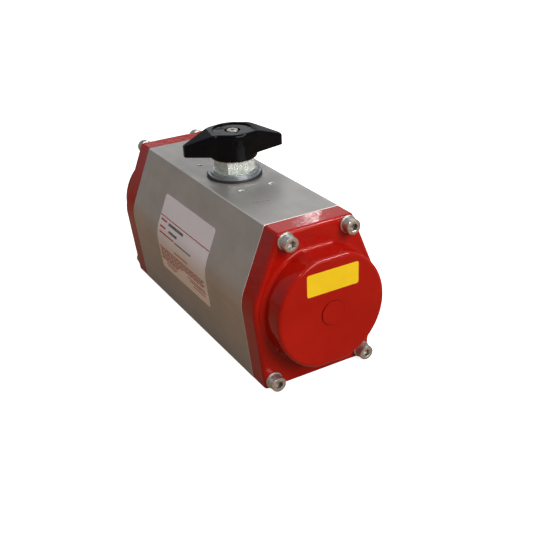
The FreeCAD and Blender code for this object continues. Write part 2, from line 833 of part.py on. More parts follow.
def make_near_cap():
    """Make the end cap on the +X end: a flange with the housing's outline and a drafted dome."""
    body = new_body("near_end_cap")
    outline = new_sketch(body, "cap_outline", "YZ_Plane", half_length)
    draw_polygon(outline, housing_corners())
    plate = pad(body, outline, "cap_flange", sized("flange_thickness"))
    rounded = round_edges(body, plate, "cap_belt", sized("belt_radius"), is_belt_edge)
    rounded = round_edges(body, rounded, "cap_corners", sized("cap_corner_radius"), lambda edge: (
        is_top_corner(edge) or is_bottom_corner(edge)))
    round_edges(body, rounded, "cap_front_edge", sized("cap_front_radius"), lambda edge: (
        near(edge.CenterOfMass.x, flange_front.value) and near(edge.BoundBox.XLength, 0)))
    add_dome(body)
    button = new_sketch(body, "cap_button_circle", "YZ_Plane", dome_front)
    draw_circle(button, ZERO, bore_height, sized("button_radius"))
    pad(body, button, "cap_button", sized("button_height"))
    spigot = new_sketch(body, "cap_spigot_circle", "YZ_Plane", half_length)
    spigot_radius = bore_radius - sized("cap_spigot_clearance")
    draw_circle(spigot, ZERO, bore_height, spigot_radius)
    pad(body, spigot, "cap_spigot", sized("cap_spigot_length"), reverse=True)
    recess = new_sketch(body, "cap_recess_circle", "YZ_Plane", half_length - sized("cap_spigot_length"))
    draw_circle(recess, ZERO, bore_height, spigot_radius - sized("cap_spigot_wall"))
    cut(body, recess, "cap_recess", sized("cap_spigot_length") + sized("flange_thickness") / 2,
        reverse=True)
    cavity = new_sketch(body, "cap_cavity_circle", "YZ_Plane", half_length)
    draw_circle(cavity, ZERO, bore_height, sized("cap_cavity_radius"))
    cavity_depth = sized("flange_thickness") + sized("dome_depth") - sized("cap_front_wall")
    cut(body, cavity, "cap_cavity", cavity_depth, reverse=True)
    cut_seal_groove(body)
    holes = new_sketch(body, "cap_hole_circles", "YZ_Plane", half_length)
    for index, (y, z) in enumerate(SCREW_PLACES):
        draw_circle(holes, y, z, sized("clearance_hole_diameter") / 2, "c%d" % index)
    cut(body, holes, "cap_holes", reverse=True)
    return body


def add_dome(body):
    """Add the dome: turned with a draft and rounded edges, then cut flat at its top and bottom."""
    radius = sized("dome_radius")
    profile = dome_sketch(body, "dome_profile")
    points, rounds = dome_side(radius, 1)
    draw_outline(profile, points + [(ZERO, dome_front), (ZERO, flange_front)], rounds)
    dome = body.newObject("PartDesign::Revolution", "dome")
    dome.Profile = profile
    dome.ReferenceAxis = (profile, ["V_Axis"])
    dome.Angle = 360
    doc.recompute()
    flats = dome_sketch(body, "dome_flat_outlines")
    beyond = radius + 2 * sized("dome_root_radius")
    ahead = dome_front + sized("dome_root_radius")
    for tag, way in (("bottom", 1), ("top", -1)):
        points, rounds = dome_side(sized("dome_flat_reach"), way)
        outside = [(points[-1][0], ahead), (way * beyond, ahead), (way * beyond, flange_front)]
        draw_outline(flats, points + outside, rounds, tag)
    cut(body, flats, "dome_flats", symmetric=True)


def dome_sketch(body, name):
    """Start a sketch whose Y axis is the dome's axis."""
    sketch = new_sketch(body, name, "XZ_Plane")
    sketch.AttachmentOffset = Placement(Vector(0, dome_height.value, 0), Rotation(Z_WAY, -90))
    sketch.setExpression(".AttachmentOffset.Base.y", dome_height.formula)
    return sketch


def dome_side(reach, way):
    """Return the dome's rounded root, drafted wall and rounded front, at a reach from its axis."""
    draft = sized("dome_draft")
    slope = tangent(45 - draft / 2)
    root_radius, front_radius = sized("dome_root_radius"), sized("dome_front_radius")
    root_step, front_step = root_radius * slope, front_radius * slope
    front_reach = reach - sized("dome_depth") * tangent(draft)
    points = [
        (way * (reach + root_step), flange_front),
        (way * (reach - root_step * sine(draft)), flange_front + root_step * cosine(draft)),
        (way * (front_reach + front_step * sine(draft)), dome_front - front_step * cosine(draft)),
        (way * (front_reach - front_step), dome_front),
    ]
    root_centre = (points[0][0], flange_front + root_radius)
    front_centre = (points[3][0], dome_front - front_radius)
    to_root = Vector(-way * root_step.value, -root_radius.value, 0).normalize()
    to_front = Vector(way * front_step.value, front_radius.value, 0).normalize()
    rounds = {
        0: (root_centre, spot_of(root_centre) + to_root * root_radius.value),
        2: (front_centre, spot_of(front_centre) + to_front * front_radius.value),
    }
    return points, rounds


def cut_seal_groove(body):
    """Cut the ring groove for the cap seal in the face that meets the housing."""
    sketch = new_sketch(body, "seal_groove_circles", "YZ_Plane", half_length)
    inner = bore_radius + sized("seal_land")
    outer = inner + sized("seal_section") + 2 * sized("seal_clearance")
    draw_circle(sketch, ZERO, bore_height, inner, "inner")
    draw_circle(sketch, ZERO, bore_height, outer, "outer")
    cut(body, sketch, "seal_groove", sized("seal_section"), reverse=True)


def make_cap_seal():
    """Make the round section ring that seals the near cap to the housing."""
    ring = doc.addObject("Part::Torus", "near_cap_seal")
    section = sized("seal_section") / 2
    reach = bore_radius + sized("seal_land") + section + sized("seal_clearance")
    bind(ring, Radius1=reach, Radius2=section - sized("seal_clearance"))
    place(ring, half_length + section, ZERO, bore_height, ALONG_X)
    return ring


def make_cap_screw():
    """Make one socket head cap screw along X, seated on its washer, on the bore's height line."""
    body = new_body("cap_screw_pattern")
    seat = flange_front + sized("washer_thickness")
    radius = sized("screw_head_diameter") / 2
    head = new_sketch(body, "screw_head_circle", "YZ_Plane", seat)
    draw_circle(head, ZERO, ZERO, radius)
    top = pad(body, head, "screw_head", sized("screw_head_height"))
    head_face = seat + sized("screw_head_height")
    bevel_edges(body, top, "screw_head_bevel", sized("screw_head_chamfer"), lambda edge: (
        isinstance(edge.Curve, Part.Circle) and near(edge.CenterOfMass.x, head_face.value)))
    shank = new_sketch(body, "screw_shank_circle", "YZ_Plane", seat)
    draw_circle(shank, ZERO, ZERO, sized("screw_diameter") / 2)
    pad(body, shank, "screw_shank", sized("screw_length"), reverse=True)
    socket = new_sketch(body, "screw_socket_outline", "YZ_Plane", head_face)
    draw_hexagon(socket, ZERO, ZERO, sized("screw_socket_width"))
    cut(body, socket, "screw_socket", sized("screw_socket_depth"))
    return body


def make_cap_washer():
    """Make one plain washer under a cap screw's head."""
    body = new_body("cap_washer_pattern")
    sketch = new_sketch(body, "cap_washer_circles", "YZ_Plane", flange_front)
    draw_circle(sketch, ZERO, ZERO, sized("washer_diameter") / 2, "outer")
    bore = sized("screw_diameter") / 2 + 4 * sized("thread_clearance")
    draw_circle(sketch, ZERO, ZERO, bore, "inner")
    pad(body, sketch, "cap_washer_disc", sized("washer_thickness"))
    return body


def four_of(name, original):
    """Place four copies of a fastener on one cap, as one group."""
    copies = []
    for index, (y, z) in enumerate(SCREW_PLACES):
        copy = doc.addObject("App::Link", "%s_%d" % (name, index + 1))
        copy.LinkedObject = original
        for axis, size in (("y", y), ("z", z)):
            copy.setExpression(".Placement.Base.%s" % axis, size.formula)
        copies.append(copy)
    group = doc.addObject("Part::Compound", name)
    group.Links = copies
    return group


def half_turn(name, original):
    """Make the far end's copy of a piece, turned half a turn about the pinion."""
    copy = doc.addObject("App::Link", name)
    copy.LinkedObject = original
    copy.LinkTransform = True
    copy.Placement = Placement(Vector(0, 0, 0), Rotation(Z_WAY, 180))
    return copy


def make_near_piston():
    """Make the near piston with its rack, which meshes with the pinion on the plain side."""
    body = new_body("near_piston")
    inner, outer = piston_inner_face, piston_outer_face
    disc = new_sketch(body, "piston_disc_circle", "YZ_Plane", inner)
    draw_circle(disc, ZERO, bore_height, piston_radius)
    crown = pad(body, disc, "piston_disc", sized("piston_thickness"))
    bevel_edges(body, crown, "piston_bevel", sized("piston_chamfer"), lambda edge: (
        isinstance(edge.Curve, Part.Circle) and near(edge.CenterOfMass.x, outer.value)))
    pocket = new_sketch(body, "piston_pocket_circle", "YZ_Plane", outer)
    draw_circle(pocket, ZERO, bore_height, sized("piston_pocket_radius"))
    cut(body, pocket, "piston_pocket", sized("piston_pocket_depth"))
    cut_ring_groove(body, "seal", seal_groove_low(), sized("piston_seal_width"), seal_groove_bottom())
    cut_ring_groove(body, "guide", guide_groove_low(), sized("guide_ring_width"), guide_groove_bottom())
    add_rack_arm(body)
    cut_pad_seat(body)
    cut_rack_teeth(body)
    return body


def seal_groove_low():
    """Return where the piston's seal groove begins along the bore."""
    return piston_outer_face - sized("piston_seal_inset") - sized("piston_seal_width")


def seal_groove_bottom():
    """Return the radius of the bottom of the piston's seal groove."""
    return bore_radius - 2 * sized("seal_clearance") - sized("piston_seal_section")


def guide_groove_low():
    """Return where the guide ring's groove begins along the bore."""
    return piston_inner_face + sized("guide_ring_inset")


def guide_groove_bottom():
    """Return the radius of the bottom of the guide ring's groove."""
    return bore_radius - 2 * sized("seal_clearance") - sized("guide_ring_depth")


def cut_ring_groove(body, name, low, width, bottom):
    """Cut one groove round the piston."""
    sketch = new_sketch(body, "piston_%s_circles" % name, "YZ_Plane", low)
    draw_circle(sketch, ZERO, bore_height, bottom, "inner")
    draw_circle(sketch, ZERO, bore_height, bore_radius + sized("piston_clearance"), "outer")
    cut(body, sketch, "piston_%s_groove" % name, width, reverse=True)


def add_rack_arm(body):
    """Add the arm that carries the rack, with its back rounded to the bore."""
    reach = rack_back_radius
    front = pitch_radius - sized("rack_addendum")
    half = sized("rack_height") / 2
    middle = bore_height
    corner = root(reach * reach - half * half)
    sketch = new_sketch(body, "rack_arm_section", "YZ_Plane", -sized("rack_reach"))
    points = [(-front, middle - half), (-front, middle + half),
              (-corner, middle + half), (-corner, middle - half)]
    draw_outline(sketch, points, {2: ((ZERO, middle), Vector(-reach.value, middle.value, 0))})
    length = sized("rack_reach") + piston_inner_face + sized("piston_chamfer")
    pad(body, sketch, "rack_arm", length)


def cut_pad_seat(body):
    """Cut the shallow seat across the rack's back that keeps the slide pad in place."""
    spare = sized("thread_clearance")
    sketch = new_sketch(body, "pad_seat_circles", "YZ_Plane", rack_pad_low - spare)
    inner = rack_back_radius - sized("rack_pad_seat")
    draw_circle(sketch, ZERO, bore_height, inner, "inner")
    draw_circle(sketch, ZERO, bore_height, bore_radius + spare, "outer")
    cut(body, sketch, "pad_seat", sized("rack_pad_length") + 2 * spare, reverse=True)


def cut_rack_teeth(body):
    """Cut the rack's tooth spaces, with one tooth on the pinion's centre line and two beyond it."""
    flank = tangent(sized("pressure_angle"))
    half_space = rack_pitch / 4 + sized("backlash") / 4
    at_tip = half_space + sized("rack_addendum") * flank
    at_root = half_space - sized("rack_dedendum") * flank
    tip, bottom = pitch_radius - sized("rack_addendum"), pitch_radius + sized("rack_dedendum")
    over = sized("rack_addendum")
    over_half = at_tip + over * flank
    count = int(SIZES["rack_teeth"]) + 1
    low = bore_height - sized("rack_height") / 2 - sized("piston_chamfer")
    sketch = new_sketch(body, "rack_space_outline", "XY_Plane", low)
    centre = rack_pitch * 2.5
    draw_polygon(sketch, [
        (centre - over_half, over - tip), (centre - at_root, -bottom),
        (centre + at_root, -bottom), (centre + over_half, over - tip)])
    height = sized("rack_height") + 2 * sized("piston_chamfer")
    space = cut(body, sketch, "rack_space", height, reverse=True)
    pattern = body.newObject("PartDesign::LinearPattern", "rack_spaces")
    pattern.Originals = [space]
    pattern.Direction = (origin_feature(body, "X_Axis"), [""])
    pattern.Reversed = True
    bind(pattern, Length=rack_pitch * (count - 1))
    pattern.Occurrences = count
    body.Tip = pattern
    doc.recompute()


def make_piston_seal():
    """Make the near piston's round section seal."""
    ring = doc.addObject("Part::Torus", "near_piston_seal")
    section = sized("piston_seal_section") / 2
    bind(ring, Radius1=bore_radius - sized("seal_clearance") - section, Radius2=section)
    middle = seal_groove_low() + sized("piston_seal_width") / 2
    place(ring, middle, ZERO, bore_height, ALONG_X)
    return ring


def make_guide_ring():
    """Make the near piston's flat guide ring."""
    body = new_body("near_guide_ring")
    gap = sized("seal_clearance")
    sketch = new_sketch(body, "guide_ring_circles", "YZ_Plane", guide_groove_low() + gap / 2)
    draw_circle(sketch, ZERO, bore_height, guide_groove_bottom() + gap / 2, "inner")
    draw_circle(sketch, ZERO, bore_height, bore_radius - gap, "outer")
    pad(body, sketch, "guide_ring_band", sized("guide_ring_width") - gap)
    return body


def make_rack_pad():
    """Make the slide pad between the near rack's back and the bore, on the plain side."""
    outer = doc.addObject("Part::Cylinder", "rack_pad_outside")
    inner = doc.addObject("Part::Cylinder", "rack_pad_inside")
    half = sized("rack_pad_angle") / 2
    back = rack_back_radius - sized("rack_pad_seat") + sized("thread_clearance")
    for cylinder, radius in ((outer, bore_radius - sized("seal_clearance")), (inner, back)):
        bind(cylinder, Radius=radius, Height=sized("rack_pad_length"), Angle=sized("rack_pad_angle"))
        turn = Rotation(X_WAY, -90 - half.value).multiply(ALONG_X)
        place(cylinder, rack_pad_low, ZERO, bore_height, turn)
    blank = doc.addObject("Part::Cut", "near_rack_pad")
    blank.Base = outer
    blank.Tool = inner
    return blank


def make_pinion():
    """Make the pinion: journals, teeth, drive socket, ring groove, square head and knob stub."""
    body = new_body("pinion")
    low, high = lower_journal_radius, upper_journal_radius
    bevel = sized("journal_chamfer")
    foot = pinion_foot
    tip_radius = pitch_radius + sized("gear_addendum")
    groove_low, groove_high = disc_top, disc_top + sized("ring_thickness") + sized("seal_clearance")
    collar = groove_high + sized("head_collar")
    profile = new_sketch(body, "pinion_profile", "XZ_Plane")
    draw_polygon(profile, [
        (ZERO, foot), (low - bevel, foot), (low, foot + bevel), (low, gear_foot),
        (tip_radius, gear_foot), (tip_radius, gear_high),
        (shoulder_radius, gear_high), (shoulder_radius, shoulder_top),
        (high, shoulder_top), (high, groove_low),
        (ring_groove_radius, groove_low), (ring_groove_radius, groove_high),
        (high, groove_high), (high, head_top - bevel / 2),
        (high - bevel / 2, head_top), (ZERO, head_top)])
    revolve(body, profile, "pinion_turning")
    stub = new_sketch(body, "stub_outline", "XY_Plane", head_top)
    draw_square(stub, sized("stub_width"))
    pad(body, stub, "knob_stub", stub_top - head_top)
    cut_journal_groove(body, "lower", low, lower_seal_height)
    cut_journal_groove(body, "upper", high, upper_seal_height)
    cut_gear_teeth(body)
    socket = new_sketch(body, "drive_square_outline", "XY_Plane", foot)
    draw_square(socket, sized("drive_square"))
    cut(body, socket, "drive_socket", sized("drive_depth"), reverse=True)
    star = new_sketch(body, "drive_star_outline", "XY_Plane", foot)
    draw_square(star, sized("drive_square"), turned=True)
    cut(body, star, "drive_star", sized("drive_depth"), reverse=True)
    cut_square_head(body, collar)
    thread = new_sketch(body, "stub_thread_circle", "XY_Plane", stub_top)
    draw_circle(thread, ZERO, ZERO, sized("knob_screw_diameter") / 2 + sized("thread_clearance"))
    cut(body, thread, "stub_thread", sized("stub_thread_depth"))
    return body


def cut_journal_groove(body, name, radius, height):
    """Cut a groove for a round section seal in one of the pinion's journals."""
    half = sized("journal_seal_width") / 2
    bottom = radius - sized("journal_seal_section")
    sketch = new_sketch(body, "%s_seal_groove_profile" % name, "XZ_Plane")
    outside = radius + sized("journal_seal_section")
    draw_polygon(sketch, [(bottom, height - half), (outside, height - half),
                          (outside, height + half), (bottom, height + half)])
    revolve(body, sketch, "%s_seal_groove" % name, groove=True)


def involute_point(base, radius, start):
    """Return the point of an involute at a radius, the curve leaving its base circle at start."""
    spread = math.sqrt(max((radius / base) ** 2 - 1, 0))
    angle = start + spread - math.atan(spread)
    return Vector(radius * math.cos(angle), radius * math.sin(angle), 0)


def cut_gear_teeth(body):
    """Cut the pinion's tooth spaces, with a space on the +X line and on every tooth step from it."""
    teeth = int(SIZES["gear_teeth"])
    slope = math.radians(SIZES["pressure_angle"])
    pitch = pitch_radius.value
    base = pitch * math.cos(slope)
    bottom = pitch - SIZES["gear_dedendum"]
    top = pitch + SIZES["gear_addendum"] + 1
    half_space = (math.pi / teeth) / 2 + SIZES["backlash"] / 4 / pitch
    start = half_space - (math.tan(slope) - slope)
    knee = max(base, bottom)
    flank = [involute_point(base, radius, start) for radius in (knee, (knee + top) / 2, top)]
    mirror = [Vector(point.x, -point.y, 0) for point in flank]
    floor_angle = math.atan2(flank[0].y, flank[0].x)
    floor_high = Vector(bottom * math.cos(floor_angle), bottom * math.sin(floor_angle), 0)
    floor_low = Vector(floor_high.x, -floor_high.y, 0)
    sketch = new_sketch(body, "tooth_space_outline", "XY_Plane", gear_foot + 1)
    pieces = [Part.Arc(*flank), Part.LineSegment(flank[2], mirror[2]), Part.Arc(*reversed(mirror)),
              Part.LineSegment(mirror[0], floor_low),
              Part.Arc(floor_low, Vector(bottom, 0, 0), floor_high),
              Part.LineSegment(floor_high, flank[0])]
    for piece in pieces:
        sketch.addGeometry(piece, False)
    depth = gear_high - gear_foot
    space = cut(body, sketch, "tooth_space", depth, reverse=True)
    polar(body, space, "tooth_spaces", teeth)


def cut_square_head(body, collar):
    """Cut the four flats of the pinion's head above its collar."""
    sketch = new_sketch(body, "head_square_outline", "XY_Plane", collar)
    draw_square(sketch, sized("head_square"))
    draw_circle(sketch, ZERO, ZERO, upper_journal_radius * 2)
    cut(body, sketch, "head_flats", head_top - collar, reverse=True)


def make_journal_seal(name, radius, height):
    """Make a round section seal in a pinion journal's groove."""
    ring = doc.addObject("Part::Torus", name)
    section = sized("journal_seal_section") / 2
    bind(ring, Radius1=radius - section + sized("seal_clearance"), Radius2=section)
    place(ring, ZERO, ZERO, height)
    return ring


def make_stop_cam():
    """Make the cam that the travel stop screws meet, one face for each end of the quarter turn."""
    body = new_body("stop_cam")
    sketch = new_sketch(body, "cam_outline", "XY_Plane", cam_low)
    face, hub, lobe = sized("cam_face"), cam_hub_radius, cam_lobe_radius
    hub_end = root(hub * hub - face * face)
    lobe_end = root(lobe * lobe - face * face)
    points = [(-hub_end, face), (-lobe_end, face), (face, -lobe_end), (face, -hub_end)]
    diagonal = Vector(1, 1, 0).normalize()
    centre = (ZERO, ZERO)
    draw_outline(sketch, points, {
        1: (centre, diagonal * -lobe.value), 3: (centre, diagonal * hub.value)})
    pad(body, sketch, "cam_plate", sized("cam_thickness"))
    bore = new_sketch(body, "cam_bore_circle", "XY_Plane", cam_low)
    draw_circle(bore, ZERO, ZERO, shoulder_radius + sized("thread_clearance"))
    cut(body, bore, "cam_bore", sized("cam_thickness"), reverse=True)
    return body


def make_retaining_ring():
    """Make the snap ring in the pinion's groove, open at one side with an eye at each end."""
    body = new_body("retaining_ring")
    clearance = sized("thread_clearance")
    outline = new_sketch(body, "ring_circle", "XY_Plane", disc_top)
    draw_circle(outline, ZERO, ZERO, ring_outer_radius)
    pad(body, outline, "ring_disc", sized("ring_thickness"))
    direction = sized("ring_gap_direction")
    across = sized("ring_gap") / 2 + sized("ring_lug_radius") / 2
    out = ring_outer_radius
    lugs = new_sketch(body, "ring_lug_circles", "XY_Plane", disc_top)
    eyes = new_sketch(body, "ring_eye_circles", "XY_Plane", disc_top)
    for tag, side in (("left", 1), ("right", -1)):
        x = out * cosine(direction) - side * across * sine(direction)
        y = out * sine(direction) + side * across * cosine(direction)
        draw_circle(lugs, x, y, sized("ring_lug_radius"), tag)
        draw_circle(eyes, x, y, sized("ring_eye_radius"), tag)
    pad(body, lugs, "ring_lugs", sized("ring_thickness"))
    bore = new_sketch(body, "ring_bore_circle", "XY_Plane", disc_top)
    draw_circle(bore, ZERO, ZERO, ring_groove_radius + clearance)
    cut(body, bore, "ring_bore", sized("ring_thickness"), reverse=True)
    cut(body, eyes, "ring_eyes", sized("ring_thickness"), reverse=True)
    gap = new_sketch(body, "ring_gap_outline", "XY_Plane", disc_top)
    half = sized("ring_gap") / 4
    near_edge, far_edge = ring_outer_radius / 2, ring_outer_radius * 1.5
    corners = []
    for reach, side in ((near_edge, 1), (far_edge, 1), (far_edge, -1), (near_edge, -1)):
        x = reach * cosine(direction) - side * half * sine(direction)
        y = reach * sine(direction) + side * half * cosine(direction)
        corners.append((x, y))
    draw_polygon(gap, corners)
    cut(body, gap, "ring_gap_cut", sized("ring_thickness"), reverse=True)
    return body


def make_knob():
    """Make the position knob: a round hub with two tapered wings and a dished crown."""
    body = new_body("knob")
    turn = sized("knob_turn")
    hub, reach, tip = sized("knob_hub_radius"), sized("knob_reach"), sized("knob_tip_half_width")
    foot, wing_foot, top = knob_foot, knob_wing_foot, knob_top
    outline = new_sketch(body, "knob_hub_circle", "XY_Plane", foot)
    draw_circle(outline, ZERO, ZERO, hub)
    post = pad(body, outline, "knob_hub", top - foot)
    round_edges(body, post, "knob_foot_edge", sized("knob_foot_radius"), lambda edge: (
        isinstance(edge.Curve, Part.Circle) and near(edge.CenterOfMass.z, foot.value)))
    # A wing's side leaves the tip's corner and touches the hub: the contact point is worked out
    away = root(reach * reach + tip * tip)
    lean = math.degrees(math.asin(hub.value / away.value)) - math.degrees(
        math.atan2(tip.value, reach.value))
    touch_x = hub.value * math.cos(math.radians(lean))
    touch_y = hub.value * math.sin(math.radians(lean))
    corners = [(tip, -reach), (touch_x, -touch_y), (touch_x, touch_y), (tip, reach),
               (-tip, reach), (-touch_x, touch_y), (-touch_x, -touch_y), (-tip, -reach)]
    wings = new_sketch(body, "knob_wing_outline", "XY_Plane", wing_foot)
    wings.AttachmentOffset = Placement(Vector(0, 0, wing_foot.value), Rotation(Z_WAY, turn.value))
    draw_polygon(wings, corners)
    pad(body, wings, "knob_wings", top - wing_foot)
    slope_wings(body, turn)
    round_knob(body)
    dish = new_sketch(body, "knob_dish_circle", "XY_Plane", top)
    draw_circle(dish, ZERO, ZERO, hub - sized("knob_dish_rim"))
    hollow = cut(body, dish, "knob_dish", sized("knob_dish_depth"))
    round_edges(body, hollow, "knob_dish_edge", sized("knob_dish_radius"), lambda edge: (
        isinstance(edge.Curve, Part.Circle) and near(edge.CenterOfMass.z, top.value)
        and near(edge.Curve.Radius, (hub - sized("knob_dish_rim")).value)))
    seat = new_sketch(body, "knob_counterbore_circle", "XY_Plane", top)
    seat_radius = sized("knob_screw_head_radius") + sized("knob_counterbore_spare")
    draw_circle(seat, ZERO, ZERO, seat_radius)
    cut(body, seat, "knob_counterbore", sized("knob_counterbore_depth") + sized("knob_dish_depth"))
    skirt = new_sketch(body, "knob_skirt_circle", "XY_Plane", foot)
    draw_circle(skirt, ZERO, ZERO, hub - sized("knob_skirt_wall"))
    cut(body, skirt, "knob_skirt", sized("knob_skirt_depth"), reverse=True)
    bore = new_sketch(body, "knob_bore_outline", "XY_Plane", foot)
    draw_square(bore, sized("stub_width") + 2 * sized("thread_clearance"))
    cut(body, bore, "knob_bore", stub_top - foot + sized("seal_clearance"), reverse=True)
    hole = new_sketch(body, "knob_screw_hole_circle", "XY_Plane", top)
    draw_circle(hole, ZERO, ZERO, sized("knob_screw_diameter") / 2 + sized("thread_clearance"))
    cut(body, hole, "knob_screw_hole")
    return body


def slope_wings(body, turn):
    """Cut the wings' tops to a slope that falls from the crown to the tips."""
    top, reach = knob_top, sized("knob_reach")
    crown = sized("knob_hub_radius") - sized("knob_crown_inset")
    fall = sized("knob_tip_drop") / (reach - crown)
    beyond = reach + sized("knob_edge_radius")
    for name, side in (("right", 1), ("left", -1)):
        sketch = new_sketch(body, "knob_%s_slope" % name, "YZ_Plane")
        sketch.AttachmentOffset = Placement(Vector(0, 0, 0), Rotation(Vector(0, 1, 0), turn.value))
        draw_polygon(sketch, [
            (side * crown, top), (side * beyond, top - fall * (beyond - crown)),
            (side * beyond, top + crown), (side * crown, top + crown)])
        cut(body, sketch, "knob_%s_wing_cut" % name, symmetric=True)
    round_edges(body, body.Tip, "knob_crown_edges", sized("knob_crown_radius"), lambda edge: (
        isinstance(edge.Curve, Part.Line) and near(edge.CenterOfMass.z, top.value)
        and edge.BoundBox.XLength > 2 * edge.BoundBox.YLength))


def round_knob(body):
    """Round the knob's tips, then its whole upper outline."""
    reach, hub = SIZES["knob_reach"], SIZES["knob_hub_radius"]

    def is_tip_corner(edge):
        return runs_along(edge, Z_WAY) and math.hypot(edge.CenterOfMass.x, edge.CenterOfMass.y) > reach - 1

    def is_upper_outline(edge):
        middle = edge.CenterOfMass
        high = middle.z > knob_wing_foot.value + SIZES["knob_edge_radius"]
        level = near(edge.BoundBox.ZLength, 0)
        on_hub = level and near(middle.z, knob_top.value) and isinstance(edge.Curve, Part.Circle)
        on_wing = high and not runs_along(edge, Z_WAY) and not crosses_wing(edge)
        return on_hub or on_wing

    def crosses_wing(edge):
        ends = [vertex.Point for vertex in edge.Vertexes]
        return len(ends) == 2 and ends[0].x * ends[1].x < 0 and math.hypot(*ends[0][:2]) < reach - 4

    round_edges(body, body.Tip, "knob_tip_corners", sized("knob_edge_radius"), is_tip_corner)
    round_edges(body, body.Tip, "knob_edges", sized("knob_edge_radius"), is_upper_outline)


def make_knob_screw():
    """Make the socket screw that holds the knob on the pinion's stub."""
    body = new_body("knob_screw")
    seat = knob_top - sized("knob_dish_depth") - sized("knob_counterbore_depth")
    shank, head = sized("knob_screw_diameter") / 2, sized("knob_screw_head_radius")
    top = seat + sized("knob_screw_head_height")
    bevel = sized("journal_chamfer") / 2
    profile = new_sketch(body, "knob_screw_profile", "XZ_Plane")
    draw_polygon(profile, [
        (ZERO, seat - sized("knob_screw_length")), (shank, seat - sized("knob_screw_length")),
        (shank, seat), (head, seat), (head, top - bevel), (head - bevel, top), (ZERO, top)])
    revolve(body, profile, "knob_screw_turning")
    socket = new_sketch(body, "knob_screw_socket_outline", "XY_Plane", top)
    draw_hexagon(socket, ZERO, ZERO, sized("knob_screw_socket_width"))
    cut(body, socket, "knob_screw_socket", sized("knob_screw_socket_depth"))
    return body


def make_stop_screw(name, side):
    """Make one travel stop screw, its tip just clear of the cam's face."""
    body = new_body(name)
    tip = sized("cam_face") + sized("stop_clearance")
    x, z = side * sized("stop_pitch") / 2, stop_height
    point = new_sketch(body, name + "_tip_circle", "XZ_Plane", -tip)
    draw_circle(point, x, z, sized("stop_tip_radius"))
    pad(body, point, name + "_tip", sized("stop_tip_length"), reverse=True)
    rod = new_sketch(body, name + "_rod_circle", "XZ_Plane", -(tip + sized("stop_tip_length")))
    draw_circle(rod, x, z, sized("stop_screw_diameter") / 2)
    length = stop_screw_out - tip - sized("stop_tip_length")
    pad(body, rod, name + "_rod", length, reverse=True)
    socket = new_sketch(body, name + "_socket_outline", "XZ_Plane", -stop_screw_out)
    draw_hexagon(socket, x, z, sized("stop_socket_width"))
    cut(body, socket, name + "_socket", sized("stop_socket_depth"), reverse=True)
    return body


def make_stop_washer(name, side):
    """Make the sealing washer under a stop screw's lock nut."""
    body = new_body(name)
    x, z = side * sized("stop_pitch") / 2, stop_height
    sketch = new_sketch(body, name + "_circles", "XZ_Plane", -stop_boss_face)
    draw_circle(sketch, x, z, sized("stop_washer_radius"), "outer")
    draw_circle(sketch, x, z, stop_hole_radius, "inner")
    pad(body, sketch, name + "_disc", sized("stop_washer_thickness"), reverse=True)
    return body


def make_stop_nut(name, side):
    """Make a stop screw's lock nut."""
    body = new_body(name)
    x, z = side * sized("stop_pitch") / 2, stop_height
    sketch = new_sketch(body, name + "_outline", "XZ_Plane", -stop_nut_seat)
    draw_hexagon(sketch, x, z, sized("stop_nut_width"))
    draw_circle(sketch, x, z, stop_hole_radius)
    pad(body, sketch, name + "_block", sized("stop_nut_thickness"), reverse=True)
    return body


def build_parts():
    """Build every piece and return the nodes by name."""
    parts = {"housing": make_housing()}
    near_pieces = {
        "end_cap": make_near_cap(),
        "cap_seal": make_cap_seal(),
        "cap_screws": four_of("near_cap_screws", make_cap_screw()),
        "cap_washers": four_of("near_cap_washers", make_cap_washer()),
        "piston": make_near_piston(),
        "piston_seal": make_piston_seal(),
        "guide_ring": make_guide_ring(),
        "rack_pad": make_rack_pad(),
    }
    for name, piece in near_pieces.items():
        parts["near_" + name] = piece
        parts["far_" + name] = half_turn("far_" + name, piece)
    parts["pinion"] = make_pinion()
    parts["lower_bush"] = tube_body(
        "lower_bush", lower_journal_radius + sized("running_clearance"), lower_bush_outer,
        pinion_foot, lower_bush_top)
    parts["upper_bush"] = tube_body(
        "upper_bush", upper_journal_radius + sized("running_clearance"), upper_bush_outer,
        upper_bush_low, upper_bush_top)
    parts["lower_shaft_seal"] = make_journal_seal(
        "lower_shaft_seal", lower_journal_radius, lower_seal_height)
    parts["upper_shaft_seal"] = make_journal_seal(
        "upper_shaft_seal", upper_journal_radius, upper_seal_height)
    parts["face_washer"] = tube_body(
        "face_washer", upper_journal_radius + 4 * sized("seal_clearance"),
        sized("face_disc_radius") + sized("face_washer_rim"), housing_top, washer_top)
    parts["face_disc"] = tube_body(
        "face_disc", upper_journal_radius + sized("thread_clearance"),
        sized("face_disc_radius"), washer_top, disc_top)
    parts["retaining_ring"] = make_retaining_ring()
    parts["stop_cam"] = make_stop_cam()
    parts["thrust_ring"] = tube_body(
        "thrust_ring", upper_journal_radius + sized("running_clearance"),
        thrust_ring_radius, shoulder_top, thrust_ring_top)
    for name, side in (("shut", -1), ("open", 1)):
        parts[name + "_stop_screw"] = make_stop_screw(name + "_stop_screw", side)
        parts[name + "_stop_washer"] = make_stop_washer(name + "_stop_washer", side)
        parts[name + "_stop_nut"] = make_stop_nut(name + "_stop_nut", side)
    parts["knob"] = make_knob()
    parts["knob_screw"] = make_knob_screw()
    return parts


